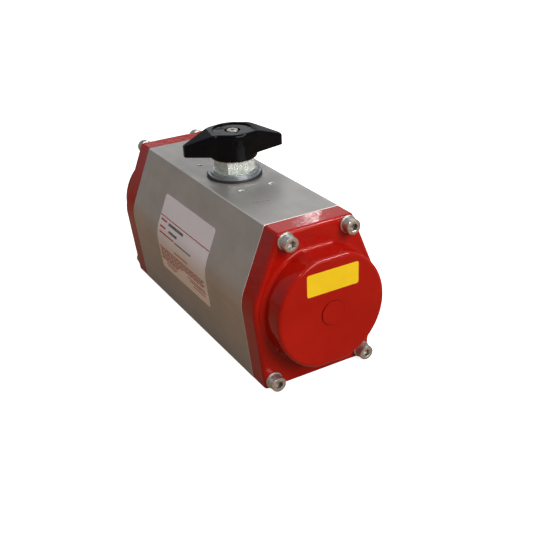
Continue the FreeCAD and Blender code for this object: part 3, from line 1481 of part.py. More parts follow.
def check_and_write(parts):
    """Recompute, test every feature and every shape, and write one file for each node."""
    doc.recompute()
    for thing in doc.Objects:
        if "Invalid" in thing.State or "Error" in thing.State:
            raise RuntimeError("%s failed: %s" % (thing.Name, thing.State))
    for name, piece in parts.items():
        shape = Part.getShape(piece)
        if shape.isNull() or not shape.isValid():
            raise RuntimeError("%s has no valid shape" % name)
    os.makedirs("parts", exist_ok=True)
    for name, piece in parts.items():
        shape = Part.getShape(piece)
        shape.exportStep(os.path.join("parts", name + ".step"))
        box = shape.BoundBox
        print("%-20s %d solids, %.0f mm3, x %.1f..%.1f y %.1f..%.1f z %.1f..%.1f" % (
            name, len(shape.Solids), shape.Volume, box.XMin, box.XMax, box.YMin, box.YMax,
            box.ZMin, box.ZMax))


check_and_write(build_parts())
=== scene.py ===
"""Looks of a quarter-turn pneumatic actuator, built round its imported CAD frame.

+Z runs up along the pinion, +X along the cylinder bore, and -Y is the plain side that the camera
sees. Everything is in metres, in the frame's own place.
"""
from __future__ import annotations

import logging
import math
from dataclasses import dataclass
from enum import Enum
from itertools import product
from typing import Any, Iterable

import bmesh
import bpy
from bmesh.types import BMesh, BMVert
from bpy.types import Material, Node, NodeSocket, NodeTree, Object
from mathutils import Matrix, Quaternion, Vector
from mathutils.bvhtree import BVHTree

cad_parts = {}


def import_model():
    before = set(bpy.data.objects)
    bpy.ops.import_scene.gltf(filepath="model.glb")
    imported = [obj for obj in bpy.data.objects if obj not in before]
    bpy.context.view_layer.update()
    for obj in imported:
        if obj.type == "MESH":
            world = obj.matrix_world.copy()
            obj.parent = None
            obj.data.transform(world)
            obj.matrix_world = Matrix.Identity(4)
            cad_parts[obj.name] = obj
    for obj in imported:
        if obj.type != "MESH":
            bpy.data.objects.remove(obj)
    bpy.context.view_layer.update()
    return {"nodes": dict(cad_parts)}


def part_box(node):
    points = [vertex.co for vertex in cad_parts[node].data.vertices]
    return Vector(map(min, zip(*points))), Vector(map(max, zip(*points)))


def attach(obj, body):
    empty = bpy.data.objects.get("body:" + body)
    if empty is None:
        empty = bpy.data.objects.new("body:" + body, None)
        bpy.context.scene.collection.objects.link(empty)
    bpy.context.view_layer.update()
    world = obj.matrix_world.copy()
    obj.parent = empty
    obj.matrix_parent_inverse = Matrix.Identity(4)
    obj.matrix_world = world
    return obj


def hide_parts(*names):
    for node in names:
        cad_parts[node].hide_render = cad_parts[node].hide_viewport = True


MM = 0.001
CLOSE = 1e-7
Span = tuple[float, float]
Colour = tuple[float, float, float]
Place = tuple[float, float, float]
WHOLE: Span = (0.0, 1.0)
log = logging.getLogger("actuator")


class Body(Enum):
    """The CAD bodies that the scene's own pieces ride on."""

    HOUSING = "housing"
    SHUT_STOP = "shut_stop"
    OPEN_STOP = "open_stop"


class Slot(Enum):
    """The record's material slots that the scene's own pieces take their finish from."""

    EXTRUSION = "anodised_aluminium"
    RED_COAT = "red_coating"
    STAINLESS = "stainless_steel"


class Form(Enum):
    """The outline of one ring of a turned piece."""

    ROUND = "round"
    HEXAGON = "hexagon"
    KNURL = "knurl"


# Node graphs


class Graph:
    """Adds nodes to one node tree and joins them."""

    def __init__(self, tree: NodeTree) -> None:
        """Keep the tree that the nodes go into."""
        self.tree = tree

    def add(self, kind: str, inputs: dict[Any, Any] | None = None, **settings: Any) -> Node:
        """Add a node.

        Args:
            kind: The node's type.
            inputs: A value or an output socket for each named or numbered input.
            settings: The node's own settings.

        Returns:
            The new node.
        """
        node = self.tree.nodes.new(kind)
        for name, value in settings.items():
            setattr(node, name, value)
        for name, value in (inputs or {}).items():
            self.feed(node.inputs[name], value)
        return node

    def feed(self, socket: NodeSocket, value: Any) -> None:
        """Fill an input.

        Args:
            socket: The input.
            value: A plain value, or the output that is joined to it.
        """
        if isinstance(value, NodeSocket):
            self.tree.links.new(value, socket)
        else:
            socket.default_value = value

    def group(self, tree: NodeTree, inputs: dict[str, Any]) -> Node:
        """Place a node group with its own values."""
        return self.add("ShaderNodeGroup", inputs, node_tree=tree)

    def coordinates(self) -> NodeSocket:
        """Return the piece's own coordinates, in metres."""
        return self.add("ShaderNodeTexCoord").outputs["Object"]

    def axes(self) -> Any:
        """Return the piece's own coordinates as X, Y and Z."""
        return self.add("ShaderNodeSeparateXYZ", {0: self.coordinates()}).outputs

    def length(self, **parts: NodeSocket) -> NodeSocket:
        """Return the length of a vector that is given by its X, Y or Z parts."""
        vector = self.add("ShaderNodeCombineXYZ", parts).outputs[0]
        return self.add("ShaderNodeVectorMath", {0: vector}, operation="LENGTH").outputs["Value"]

    def noise(self, vector: NodeSocket, scale: Any, detail: float = 3.0, rough: float = 0.6) -> NodeSocket:
        """Return a noise value over a vector."""
        inputs = {"Vector": vector, "Scale": scale, "Detail": detail, "Roughness": rough}
        return self.add("ShaderNodeTexNoise", inputs).outputs["Fac"]

    def remap(self, value: Any, source: Span, target: tuple[Any, Any]) -> NodeSocket:
        """Move a value smoothly from one range to another.

        Args:
            value: The value.
            source: The range that it comes from, past which it stays at the limit.
            target: The range that it goes to.

        Returns:
            The moved value.
        """
        inputs = {"Value": value, "From Min": source[0], "From Max": source[1],
                  "To Min": target[0], "To Max": target[1]}
        return self.add("ShaderNodeMapRange", inputs, interpolation_type="SMOOTHSTEP").outputs["Result"]

    def math(self, operation: str, *values: Any) -> NodeSocket:
        """Return the result of a calculation."""
        return self.add("ShaderNodeMath", dict(enumerate(values)), operation=operation).outputs[0]

    def mix(self, share: Any, first: Any, second: Any) -> NodeSocket:
        """Mix two colours.

        Args:
            share: How much of the second colour there is.
            first: The first colour, plain or an output.
            second: The second colour.

        Returns:
            The colour between them.
        """
        node = self.add("ShaderNodeMix", data_type="RGBA")
        sockets = {socket.identifier: socket for socket in node.inputs}
        for name, value in (("Factor_Float", share), ("A_Color", first), ("B_Color", second)):
            self.feed(sockets[name], opaque(value) if isinstance(value, tuple) else value)
        return next(socket for socket in node.outputs if socket.identifier == "Result_Color")

    def bump(self, height: NodeSocket, depth: float) -> NodeSocket:
        """Return a normal raised by a height field, in metres."""
        return self.add("ShaderNodeBump", {"Height": height, "Distance": depth}).outputs["Normal"]


def opaque(colour: Colour) -> tuple[float, float, float, float]:
    """Return a colour with full cover."""
    return (*colour, 1.0)


def new_material(name: str) -> Material:
    """Start a material with no nodes.

    Args:
        name: The material's name.

    Returns:
        The material.
    """
    material = bpy.data.materials.new(name)
    material.use_nodes = True
    material.node_tree.nodes.clear()
    return material


def new_group(name: str, inputs: dict[str, float | None], output: str) -> tuple[Graph, Any, NodeSocket]:
    """Start a shader node group.

    Args:
        name: The group's name.
        inputs: The default of each input; None stands for a vector.
        output: The name of its one output, a plain value.

    Returns:
        The graph, its inputs as outputs to build on, and the socket that takes the result.
    """
    tree = bpy.data.node_groups.new(name, "ShaderNodeTree")
    for key, value in inputs.items():
        kind = "NodeSocketVector" if value is None else "NodeSocketFloat"
        socket = tree.interface.new_socket(name=key, in_out="INPUT", socket_type=kind)
        if value is not None:
            socket.default_value = value
    tree.interface.new_socket(name=output, in_out="OUTPUT", socket_type="NodeSocketFloat")
    graph = Graph(tree)
    return graph, graph.add("NodeGroupInput").outputs, graph.add("NodeGroupOutput").inputs[output]


def mottle_group(gain: float = 6.0, least: float = 0.5) -> NodeTree:
    """Make the group that gives a cloudy mask between 0 and 1.

    Args:
        gain: How much steeper the clouds' edges get for each unit of contrast.
        least: How steep they are with no contrast.

    Returns:
        The group.
    """
    graph, given, result = new_group(
        "cloudy_mottle", {"Vector": None, "Scale": 60.0, "Contrast": 0.5}, "Mask")
    clouds = graph.math("SUBTRACT", graph.noise(given["Vector"], given["Scale"], 4.0), 0.5)
    steepness = graph.math("MULTIPLY_ADD", given["Contrast"], gain, least)
    spread = graph.math("MULTIPLY", clouds, steepness)
    mask = graph.add("ShaderNodeMath", {0: spread, 1: 0.5}, operation="ADD", use_clamp=True)
    graph.feed(result, mask.outputs[0])
    return graph.tree


def drawn_lines_group() -> NodeTree:
    """Make the group that gives the height of fine lines drawn along X by the extrusion die.

    Returns:
        The group.
    """
    graph, given, result = new_group("drawn_lines", {"Along": 6.0, "Across": 1400.0}, "Height")
    along, across = given["Along"], given["Across"]
    scale = graph.add("ShaderNodeCombineXYZ", {"X": along, "Y": across, "Z": across})
    stretched = graph.add(
        "ShaderNodeVectorMath", {0: graph.coordinates(), 1: scale.outputs[0]}, operation="MULTIPLY")
    graph.feed(result, graph.noise(stretched.outputs[0], 1.0, 4.0))
    return graph.tree


def speck_group() -> NodeTree:
    """Make the group that gives sparse small specks, such as dust.

    Returns:
        The group.
    """
    graph, given, result = new_group("fine_specks", {"Scale": 900.0, "Amount": 0.1}, "Mask")
    cells = graph.add("ShaderNodeTexVoronoi", {"Vector": graph.coordinates(), "Scale": given["Scale"]})
    graph.feed(result, graph.math("LESS_THAN", cells.outputs["Distance"], given["Amount"]))
    return graph.tree


class Effects:
    """The node groups that several finishes share, each built once."""

    def __init__(self) -> None:
        """Build the groups."""
        self.mottle = mottle_group()
        self.lines = drawn_lines_group()
        self.specks = speck_group()


# Finishes


class Canvas(Graph):
    """The nodes of one of the actuator's materials, with its cloudy mask."""

    def __init__(self, tree: NodeTree, effects: Effects, scale: float, contrast: float) -> None:
        """Place the mask.

        Args:
            tree: The material's node tree.
            effects: The shared node groups.
            scale: How fine the clouds are.
            contrast: How much the clouds' edges stand out.
        """
        super().__init__(tree)
        self.effects = effects
        given = {"Vector": self.coordinates(), "Scale": scale, "Contrast": contrast}
        self.mask = self.group(effects.mottle, given).outputs["Mask"]

    def lines(self, along: float, across: float) -> NodeSocket:
        """Return the height of drawn lines with their scales along X and across it."""
        return self.group(self.effects.lines, {"Along": along, "Across": across}).outputs["Height"]

    def specks(self, scale: float, amount: float) -> NodeSocket:
        """Return a mask of specks."""
        return self.group(self.effects.specks, {"Scale": scale, "Amount": amount}).outputs["Mask"]


@dataclass(frozen=True)
class Finish:
    """A surface with a colour that drifts between two tones, with its gloss and its fine relief."""

    name: str
    light: Colour
    dark: Colour
    metallic: float = 0.0
    roughness: Span = (0.3, 0.4)
    mottle_scale: float = 60.0
    contrast: float = 0.5
    relief_scale: float = 0.0
    relief_depth: float = 0.0
    specular: float = 0.5

    def build(self, effects: Effects) -> Material:
        """Make the finish as a material.

        Args:
            effects: The shared node groups.

        Returns:
            The material.
        """
        material = new_material(self.name)
        canvas = Canvas(material.node_tree, effects, self.mottle_scale, self.contrast)
        plain = {"Metallic": self.metallic, "Specular IOR Level": self.specular}
        shader = canvas.add("ShaderNodeBsdfPrincipled", {**plain, **self.surface(canvas)})
        canvas.add("ShaderNodeOutputMaterial", {"Surface": shader.outputs["BSDF"]})
        return material

    def tone(self, canvas: Canvas, mask: NodeSocket) -> NodeSocket:
        """Return the colour, from the light tone to the dark one."""
        return canvas.mix(mask, self.light, self.dark)

    def gloss(self, canvas: Canvas, mask: NodeSocket) -> NodeSocket:
        """Return the roughness, which follows the same mask."""
        return canvas.remap(mask, WHOLE, self.roughness)

    def surface(self, canvas: Canvas) -> dict[str, Any]:
        """Lay out what varies over the surface: colour, gloss and relief.

        Args:
            canvas: The material's nodes.

        Returns:
            What feeds the shader's inputs.
        """
        inputs = {
            "Base Color": self.tone(canvas, canvas.mask), "Roughness": self.gloss(canvas, canvas.mask)}
        if self.relief_depth:
            height = canvas.noise(canvas.coordinates(), self.relief_scale, 2.0)
            inputs["Normal"] = canvas.bump(height, self.relief_depth)
        return inputs


@dataclass(frozen=True)
class DrawnFinish(Finish):
    """An extruded and anodised surface with fine lines along the bore and bright cut edges, partly uncoated
    metal and partly painted highlight.
    """

    line_scale: Span = (5.0, 1500.0)
    line_share: float = 0.12
    line_depth: float = 0.012 * MM
    band_scale: Span = (1.5, 130.0)
    band_share: float = 0.25
    # The bright edges' colour: partly uncoated machined metal, partly painted highlight.
    cut: Colour = (0.86, 0.86, 0.84)
    cut_roughness: float = 0.6
    cut_metallic: float = 0.35
    end_cut: float = 113.5 * MM
    corner_sum: float = 172.45 * MM
    corner_blend: float = 0.3 * MM
    # How much painted highlight and uncoated metal the top corners take.
    worn_and_highlit: float = 0.45
    hole_place: Span = (40 * MM, 15 * MM)
    hole_reach: float = 2.62 * MM
    hole_level: float = 137.4 * MM

    def surface(self, canvas: Canvas) -> dict[str, Any]:
        """Add the drawn lines and the bright cut edges, partly uncoated metal and partly painted highlight,
        to the colour, the gloss and the relief.

        Args:
            canvas: The material's nodes.

        Returns:
            What feeds the shader's inputs.
        """
        lines, bands = canvas.lines(*self.line_scale), canvas.lines(*self.band_scale)
        clouds = canvas.math("MULTIPLY", canvas.mask, 1 - self.band_share)
        banded = canvas.math("ADD", clouds, canvas.remap(bands, (0.3, 0.7), (0.0, self.band_share)))
        fine = canvas.remap(lines, (0.25, 0.75), (0.0, self.line_share))
        colour = canvas.mix(fine, self.tone(canvas, banded), self.dark)
        # Painted highlight mixed with uncoated metal on the bevels, top corners and countersinks.
        bare_and_highlit = self.bare_and_highlit_edges(canvas)
        return {
            "Base Color": canvas.mix(bare_and_highlit, colour, self.cut),
            "Metallic": canvas.remap(bare_and_highlit, WHOLE, (self.metallic, self.cut_metallic)),
            "Roughness": canvas.remap(bare_and_highlit, WHOLE, (self.gloss(canvas, banded), self.cut_roughness)),
            "Normal": canvas.bump(lines, self.line_depth),
        }

    def bare_and_highlit_edges(self, canvas: Canvas) -> NodeSocket:
        """Mask the end bevels, the top corners and the countersinks of the top holes, where the colour is
        partly uncoated, rubbed metal and partly painted highlight.

        Args:
            canvas: The material's nodes.

        Returns:
            The mask.
        """
        place = canvas.axes()
        along, across = (canvas.math("ABSOLUTE", place[axis]) for axis in ("X", "Y"))
        ends = canvas.math("GREATER_THAN", along, self.end_cut)
        corner = canvas.remap(canvas.math("ADD", across, place["Z"]),
                             (self.corner_sum, self.corner_sum + self.corner_blend), (0.0, self.worn_and_highlit))
        away = canvas.length(X=canvas.math("SUBTRACT", along, self.hole_place[0]),
                            Y=canvas.math("SUBTRACT", across, self.hole_place[1]))
        rim = canvas.math("MULTIPLY", canvas.math("LESS_THAN", away, self.hole_reach),
                         canvas.math("GREATER_THAN", place["Z"], self.hole_level))
        return canvas.math("MAXIMUM", ends, canvas.math("MAXIMUM", corner, rim))


@dataclass(frozen=True)
class CoatFinish(Finish):
    """A powder coat: glossy, with a fine orange peel, a few specks of dust in it and a painted shade ring
    round the button's foot.
    """

    peel_scale: float = 300.0
    peel_depth: float = 0.055 * MM
    wave_scale: float = 300.0 / 2.2
    wave_share: float = 2.4
    speck_scale: float = 260.0
    speck_amount: float = 0.035
    dust_share: float = 0.55
    dust_lift: float = 0.12
    button_height: float = 69.0 * MM
    button_rim: float = 10.7 * MM
    button_face: float = 157.0 * MM
    shade_ring_width: float = 0.7 * MM
    shade_ring_share: float = 0.5
    painted_shade_factor: float = 0.35

    def surface(self, canvas: Canvas) -> dict[str, Any]:
        """Add the orange peel, the dust and a painted shade ring round the foot of the dome's button.

        Args:
            canvas: The material's nodes.

        Returns:
            What feeds the shader's inputs.
        """
        peel = canvas.noise(canvas.coordinates(), self.peel_scale, 1.0)
        wave = canvas.noise(canvas.coordinates(), self.wave_scale, 1.0)
        height = canvas.math("ADD", canvas.math("MULTIPLY", wave, self.wave_share), peel)
        specks = canvas.specks(self.speck_scale, self.speck_amount)
        dust = tuple(self.dust_share * part + self.dust_lift for part in self.light)
        # Painted shade: a darker ring of the coat round the foot of the button.
        deep = tuple(self.painted_shade_factor * part for part in self.dark)
        coat = canvas.mix(self.rim(canvas), self.tone(canvas, canvas.mask), deep)
        return {
            "Base Color": canvas.mix(specks, coat, dust),
            "Roughness": self.gloss(canvas, canvas.mask),
            "Normal": canvas.bump(height, self.peel_depth),
        }

    def rim(self, canvas: Canvas) -> NodeSocket:
        """Mask the painted shade ring round the foot of the button.

        Args:
            canvas: The material's nodes.

        Returns:
            The mask.
        """
        place = canvas.axes()
        away = canvas.length(Y=place["Y"], Z=canvas.math("SUBTRACT", place["Z"], self.button_height))
        off = canvas.math("ABSOLUTE", canvas.math("SUBTRACT", away, self.button_rim))
        near = canvas.remap(off, (0.0, self.shade_ring_width), (self.shade_ring_share, 0.0))
        out = canvas.math("GREATER_THAN", canvas.math("ABSOLUTE", place["X"]), self.button_face)
        return canvas.math("MULTIPLY", near, out)


@dataclass(frozen=True)
class PlateFinish(Finish):
    """Zinc plate on the pinion: mottled, with one flat of its head left rough and bright."""

    rough_from: float = 13.2 * MM
    rough_blend: float = 0.2 * MM
    rough_depth: float = 0.16 * MM
    pit_scale: float = 900.0
    fleck_scale: float = 2600.0
    fleck_relief: float = 0.008
    fleck_shade: float = 0.6

    def surface(self, canvas: Canvas) -> dict[str, Any]:
        """Add the rough flat, which faces +X.

        Args:
            canvas: The material's nodes.

        Returns:
            What feeds the shader's inputs.
        """
        flat = (self.rough_from, self.rough_from + self.rough_blend)
        on_flat = canvas.remap(canvas.axes()["X"], flat, WHOLE)
        coarse = canvas.noise(canvas.coordinates(), self.pit_scale)
        fine = canvas.noise(canvas.coordinates(), self.fleck_scale, 2.0)
        pits = canvas.math("MULTIPLY", on_flat, canvas.remap(coarse, (0.35, 0.65), WHOLE))
        height = canvas.math("ADD", pits, canvas.math("MULTIPLY", fine, self.fleck_relief))
        flecks = canvas.math("MULTIPLY", on_flat, canvas.remap(fine, (0.45, 0.6), WHOLE))
        deep = tuple(part * self.fleck_shade for part in self.dark)
        return {
            "Base Color": canvas.mix(flecks, self.tone(canvas, canvas.mask), deep),
            "Roughness": self.gloss(canvas, canvas.mask),
            "Normal": canvas.bump(height, self.rough_depth),
        }


@dataclass(frozen=True)
class ScuffedFinish(Finish):
    """Glossy moulded plastic with faint scuffs and a little dust."""

    scuff_scale: Place = (300.0, 300.0 / 9, 300.0)
    scuff_share: float = 0.12
    speck_scale: float = 700.0
    speck_amount: float = 0.07
    dust_lift: float = 0.05
    wave_scale: float = 90.0
    wave_depth: float = 0.12 * MM

    def surface(self, canvas: Canvas) -> dict[str, Any]:
        """Add the scuffs to the gloss, the dust to the colour and the mould's soft wave.

        Args:
            canvas: The material's nodes.

        Returns:
            What feeds the shader's inputs.
        """
        inputs = {"Vector": canvas.coordinates(), "Scale": self.scuff_scale}
        stretched = canvas.add("ShaderNodeMapping", inputs).outputs["Vector"]
        scuffs = canvas.remap(canvas.noise(stretched, 1.0, 5.0), (0.55, 0.75), WHOLE)
        specks = canvas.specks(self.speck_scale, self.speck_amount)
        dust = tuple(part + self.dust_lift for part in self.light)
        dulled = canvas.math("MULTIPLY", scuffs, self.scuff_share)
        return {
            "Base Color": canvas.mix(specks, self.tone(canvas, canvas.mask), dust),
            "Roughness": canvas.math("ADD", self.gloss(canvas, canvas.mask), dulled),
            "Normal": canvas.bump(canvas.noise(canvas.coordinates(), self.wave_scale, 1.0), self.wave_depth),
        }


@dataclass(frozen=True)
class FilmFinish(Finish):
    """Printed label film: a satin face, with a painted warm light from below that grows towards its foot."""

    painted_warm_light_heights: Span = WHOLE
    painted_warm_light_tint: Colour = (0.8, 0.8, 0.8)

    def surface(self, canvas: Canvas) -> dict[str, Any]:
        """Add the painted warm light from below, which grows towards the foot, to the plain surface.

        Args:
            canvas: The material's nodes.

        Returns:
            What feeds the shader's inputs.
        """
        inputs = super().surface(canvas)
        # Painted light: a warm tint towards the foot that stands in for light thrown up from below.
        share = canvas.remap(canvas.axes()["Z"], self.painted_warm_light_heights, (1.0, 0.0))
        return {**inputs, "Base Color": canvas.mix(share, inputs["Base Color"], self.painted_warm_light_tint)}


@dataclass(frozen=True)
class InkFinish(Finish):
    """Print on a film, dull and a little uneven."""

    roughness: Span = (0.4, 0.5)
    mottle_scale: float = 900.0
    contrast: float = 0.9


class Palette:
    """Every finish on the actuator, built once."""

    def __init__(self) -> None:
        """Build the shared effects and the materials."""
        effects = Effects()
        self.extrusion = DrawnFinish(
            "anodised_extrusion", (0.46, 0.445, 0.43), (0.39, 0.375, 0.36), metallic=0.76,
            roughness=(0.40, 0.50), mottle_scale=26.0, contrast=0.4).build(effects)
        self.red = CoatFinish(
            "red_powder_coat", (0.38, 0.007, 0.003), (0.33, 0.005, 0.002),
            roughness=(0.07, 0.13), mottle_scale=22.0, specular=0.2).build(effects)
        self.stainless = Finish(
            "stainless_steel", (0.61, 0.59, 0.56), (0.36, 0.345, 0.33), metallic=0.86,
            roughness=(0.28, 0.42), mottle_scale=420.0, contrast=0.7,
            relief_scale=2600.0, relief_depth=0.01 * MM).build(effects)
        self.disc = Finish(
            "satin_steel_disc", (0.40, 0.42, 0.44), (0.30, 0.32, 0.34), metallic=0.9,
            roughness=(0.34, 0.46), mottle_scale=240.0, contrast=0.6,
            relief_scale=1800.0, relief_depth=0.008 * MM).build(effects)
        self.plate = PlateFinish(
            "zinc_plate", (0.84, 0.89, 0.85), (0.62, 0.66, 0.62), metallic=0.85,
            roughness=(0.26, 0.40), mottle_scale=150.0, contrast=0.6).build(effects)
        self.knob = ScuffedFinish(
            "black_knob_plastic", (0.0011, 0.0016, 0.0030), (0.0026, 0.0031, 0.0048),
            roughness=(0.03, 0.06), mottle_scale=80.0, specular=0.1).build(effects)
        self.black = Finish(
            "black_washer_plastic", (0.010, 0.010, 0.010), (0.018, 0.017, 0.016),
            roughness=(0.45, 0.6), mottle_scale=300.0,
            relief_scale=1500.0, relief_depth=0.02 * MM).build(effects)
        self.rubber = Finish(
            "seal_rubber", (0.015, 0.015, 0.015), (0.024, 0.023, 0.022),
            roughness=(0.55, 0.7), mottle_scale=200.0,
            relief_scale=1200.0, relief_depth=0.02 * MM).build(effects)
        self.bearing = Finish(
            "bearing_plastic", (0.76, 0.73, 0.64), (0.68, 0.65, 0.56),
            roughness=(0.35, 0.5), mottle_scale=120.0,
            relief_scale=800.0, relief_depth=0.01 * MM).build(effects)
        self.casting = Finish(
            "cast_aluminium", (0.62, 0.62, 0.61), (0.46, 0.46, 0.45), metallic=0.95,
            roughness=(0.35, 0.55), mottle_scale=180.0, contrast=0.6,
            relief_scale=1400.0, relief_depth=0.05 * MM).build(effects)
        # The label's foot takes a painted warm tint of light from below.
        self.label = FilmFinish(
            "white_label_film", (0.82, 0.80, 0.86), (0.78, 0.76, 0.82),
            roughness=(0.3, 0.38), mottle_scale=40.0, contrast=0.4,
            relief_scale=500.0, relief_depth=0.01 * MM,
            painted_warm_light_heights=(44 * MM, 80 * MM), painted_warm_light_tint=(0.94, 0.85, 0.80)).build(effects)
        self.yellow = Finish(
            "yellow_sticker_film", (0.86, 0.60, 0.012), (0.80, 0.55, 0.010),
            roughness=(0.28, 0.36), contrast=0.4,
            relief_scale=500.0, relief_depth=0.01 * MM).build(effects)
        self.red_ink = InkFinish(
            "red_ink", (0.42, 0.03, 0.03), (0.50, 0.06, 0.05),
            mottle_scale=600.0, contrast=0.8).build(effects)
        self.brown_ink = InkFinish("faded_red_ink", (0.32, 0.05, 0.035), (0.44, 0.11, 0.08)).build(effects)
        self.orange_ink = InkFinish(
            "orange_ink", (0.62, 0.27, 0.12), (0.68, 0.36, 0.20),
            mottle_scale=500.0, contrast=0.8).build(effects)
        self.black_ink = InkFinish("black_ink", (0.06, 0.06, 0.07), (0.22, 0.21, 0.22)).build(effects)
        self.scratch = Finish(
            "scratch", (0.07, 0.07, 0.07), (0.13, 0.13, 0.13), metallic=0.2,
            roughness=(0.5, 0.6), mottle_scale=900.0, contrast=0.9).build(effects)
        # Painted shade: a darker steel inside the screws' sockets.
        self.socket = Finish(
            "socket_shade", (0.40, 0.39, 0.37), (0.14, 0.135, 0.13), metallic=0.85,
            roughness=(0.16, 0.28), mottle_scale=500.0, contrast=0.8).build(effects)


# Mesh work


def new_object(mesh: BMesh, name: str) -> Object:
    """Turn mesh work into an object at the origin.

    Args:
        mesh: The mesh, which is freed.
        name: The object's name.

    Returns:
        The object.
    """
    data = bpy.data.meshes.new(name)
    mesh.to_mesh(data)
    mesh.free()
    made = bpy.data.objects.new(name, data)
    bpy.context.scene.collection.objects.link(made)
    return made


def finish_piece(mesh: BMesh, name: str, material: Material, body: Body,
                 sharp: float = 32.0, inner: Material | None = None) -> Object:
    """Turn mesh work into a piece of the actuator.

    Args:
        mesh: The mesh, in its final place.
        name: The piece's name.
        material: Its finish.
        body: The body that it rides on.
        sharp: The angle in degrees past which an edge stays sharp.
        inner: The finish of the faces marked with material number 1, such as a socket's darker steel with
            painted shade.

    Returns:
        The piece.
    """
    bmesh.ops.recalc_face_normals(mesh, faces=mesh.faces)
    for face in mesh.faces:
        face.smooth = True
    for edge in mesh.edges:
        if len(edge.link_faces) == 2 and edge.calc_face_angle(0.0) > math.radians(sharp):
            edge.smooth = False
    piece = new_object(mesh, name)
    for finish in (material, inner):
        if finish is not None:
            piece.data.materials.append(finish)
    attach(piece, body.value)
    log.info("made %s: %d faces", name, len(piece.data.polygons))
    return piece


@dataclass(frozen=True)
class Ring:
    """One ring of a turned piece: its place along the axis, its radius and its outline."""

    along: float
    radius: float
    form: Form = Form.ROUND


def hexagon_stretch(angle: float) -> float:
    """Return how far a hexagon's outline is at an angle, as a share of its half width."""
    sector = math.radians(60)
    return 1 / math.cos((angle % sector) - sector / 2)


def turn_piece(mesh: BMesh, rings: list[Ring], steps: int, knurl_depth: float = 0.0) -> list[BMVert]:
    """Turn a profile about the X axis and give each ring its outline.

    Args:
        mesh: The mesh to add to.
        rings: The profile from one end of the axis to the other; a radius of 0 closes an end.
        steps: The number of steps round the axis.
        knurl_depth: How deep the grooves of a knurled ring are.

    Returns:
        The new vertices.
    """
    before = set(mesh.verts)
    profile = [mesh.verts.new((ring.along, ring.radius, 0.0)) for ring in rings]
    edges = [mesh.edges.new(pair) for pair in zip(profile, profile[1:])]
    bmesh.ops.spin(mesh, geom=profile + edges, cent=(0, 0, 0), axis=(1, 0, 0), dvec=(0, 0, 0),
                   angle=math.tau, steps=steps, use_merge=True, use_duplicate=False)
    made = [vert for vert in mesh.verts if vert not in before]
    shaped = [ring for ring in rings if ring.form is not Form.ROUND]
    for vert in made:
        radius = math.hypot(vert.co.y, vert.co.z)
        angle = math.atan2(vert.co.z, vert.co.y)
        for ring in shaped:
            if abs(vert.co.x - ring.along) > CLOSE or abs(radius - ring.radius) > CLOSE:
                continue
            reach = radius * hexagon_stretch(angle)
            if ring.form is Form.KNURL:
                odd = round(angle / math.tau * steps) % 2
                reach = radius - knurl_depth * odd
            vert.co.y, vert.co.z = reach * math.cos(angle), reach * math.sin(angle)
            break
    bmesh.ops.remove_doubles(mesh, verts=made, dist=CLOSE)
    return [vert for vert in mesh.verts if vert not in before]


def place_verts(mesh: BMesh, verts: list[BMVert], turn: Quaternion, place: Vector) -> None:
    """Turn and move vertices."""
    matrix = Matrix.Translation(place) @ turn.to_matrix().to_4x4()
    bmesh.ops.transform(mesh, matrix=matrix, verts=verts)


def add_thread(mesh: BMesh, root: float, crest: float, pitch: float, length: float,
               steps: int = 24) -> list[BMVert]:
    """Wind a thread's ridge about the X axis.

    Args:
        mesh: The mesh to add to.
        root: The radius of the ridge's foot.
        crest: The radius of its crest, inside the root for a hole's thread.
        pitch: The rise of one turn.
        length: The length of the thread along the axis.
        steps: The steps in one turn.

    Returns:
        The new vertices.
    """
    foot_share, sunk_share = 0.42, 0.2
    before = set(mesh.verts)
    half = pitch * foot_share
    sunk = root + (root - crest) * sunk_share
    corners = [mesh.verts.new(corner) for corner in ((0, crest, 0), (half, sunk, 0), (-half, sunk, 0))]
    face = mesh.faces.new(corners)
    turns = int(length / pitch)
    bmesh.ops.spin(mesh, geom=[face, *face.edges, *corners], cent=(0, 0, 0), axis=(1, 0, 0),
                   dvec=(pitch / steps, 0, 0), angle=math.tau * turns, steps=turns * steps,
                   use_merge=False, use_duplicate=False)
    return [vert for vert in mesh.verts if vert not in before]


def rounded_plate(mesh: BMesh, width: float, height: float, corner: float, cuts: float) -> list[BMVert]:
    """Make a flat plate in the X and Z plane, its corners rounded and its face cut across Z.

    Args:
        mesh: The mesh to add to.
        width: Its width along X.
        height: Its height along Z.
        corner: The corner radius.
        cuts: The distance between the cuts, so that it can follow a curved side.

    Returns:
        Its vertices.
    """
    made = bmesh.ops.create_grid(mesh, x_segments=1, y_segments=1, size=0.5)["verts"]
    matrix = Matrix.Rotation(math.radians(90), 4, "X") @ Matrix.Diagonal((width, height, 1, 1))
    bmesh.ops.transform(mesh, matrix=matrix, verts=made)
    if corner:
        bmesh.ops.bevel(mesh, geom=made, offset=corner, offset_type="OFFSET", segments=6,
                        profile=0.5, affect="VERTICES", material=-1)
    steps = math.ceil(height / cuts)
    for step in range(1, steps):
        level = -height / 2 + step * height / steps
        geometry = [*mesh.verts, *mesh.edges, *mesh.faces]
        bmesh.ops.bisect_plane(mesh, geom=geometry, dist=CLOSE, plane_co=(0, 0, level), plane_no=(0, 0, 1))
    return list(mesh.verts)


def thicken(mesh: BMesh, step: Place) -> None:
    """Give a film its thickness.

    Args:
        mesh: The film's back.
        step: How far its front lies from its back.
    """
    front = bmesh.ops.extrude_face_region(mesh, geom=list(mesh.faces), use_keep_orig=True)
    moved = [item for item in front["geom"] if isinstance(item, BMVert)]
    bmesh.ops.translate(mesh, vec=step, verts=moved)


def merge_into(target: BMesh, source: BMesh) -> None:
    """Add one mesh to another.

    Args:
        target: The mesh that grows.
        source: The mesh that is added and freed.
    """
    data = bpy.data.meshes.new("film_run")
    source.to_mesh(data)
    source.free()
    target.from_mesh(data)
    bpy.data.meshes.remove(data)


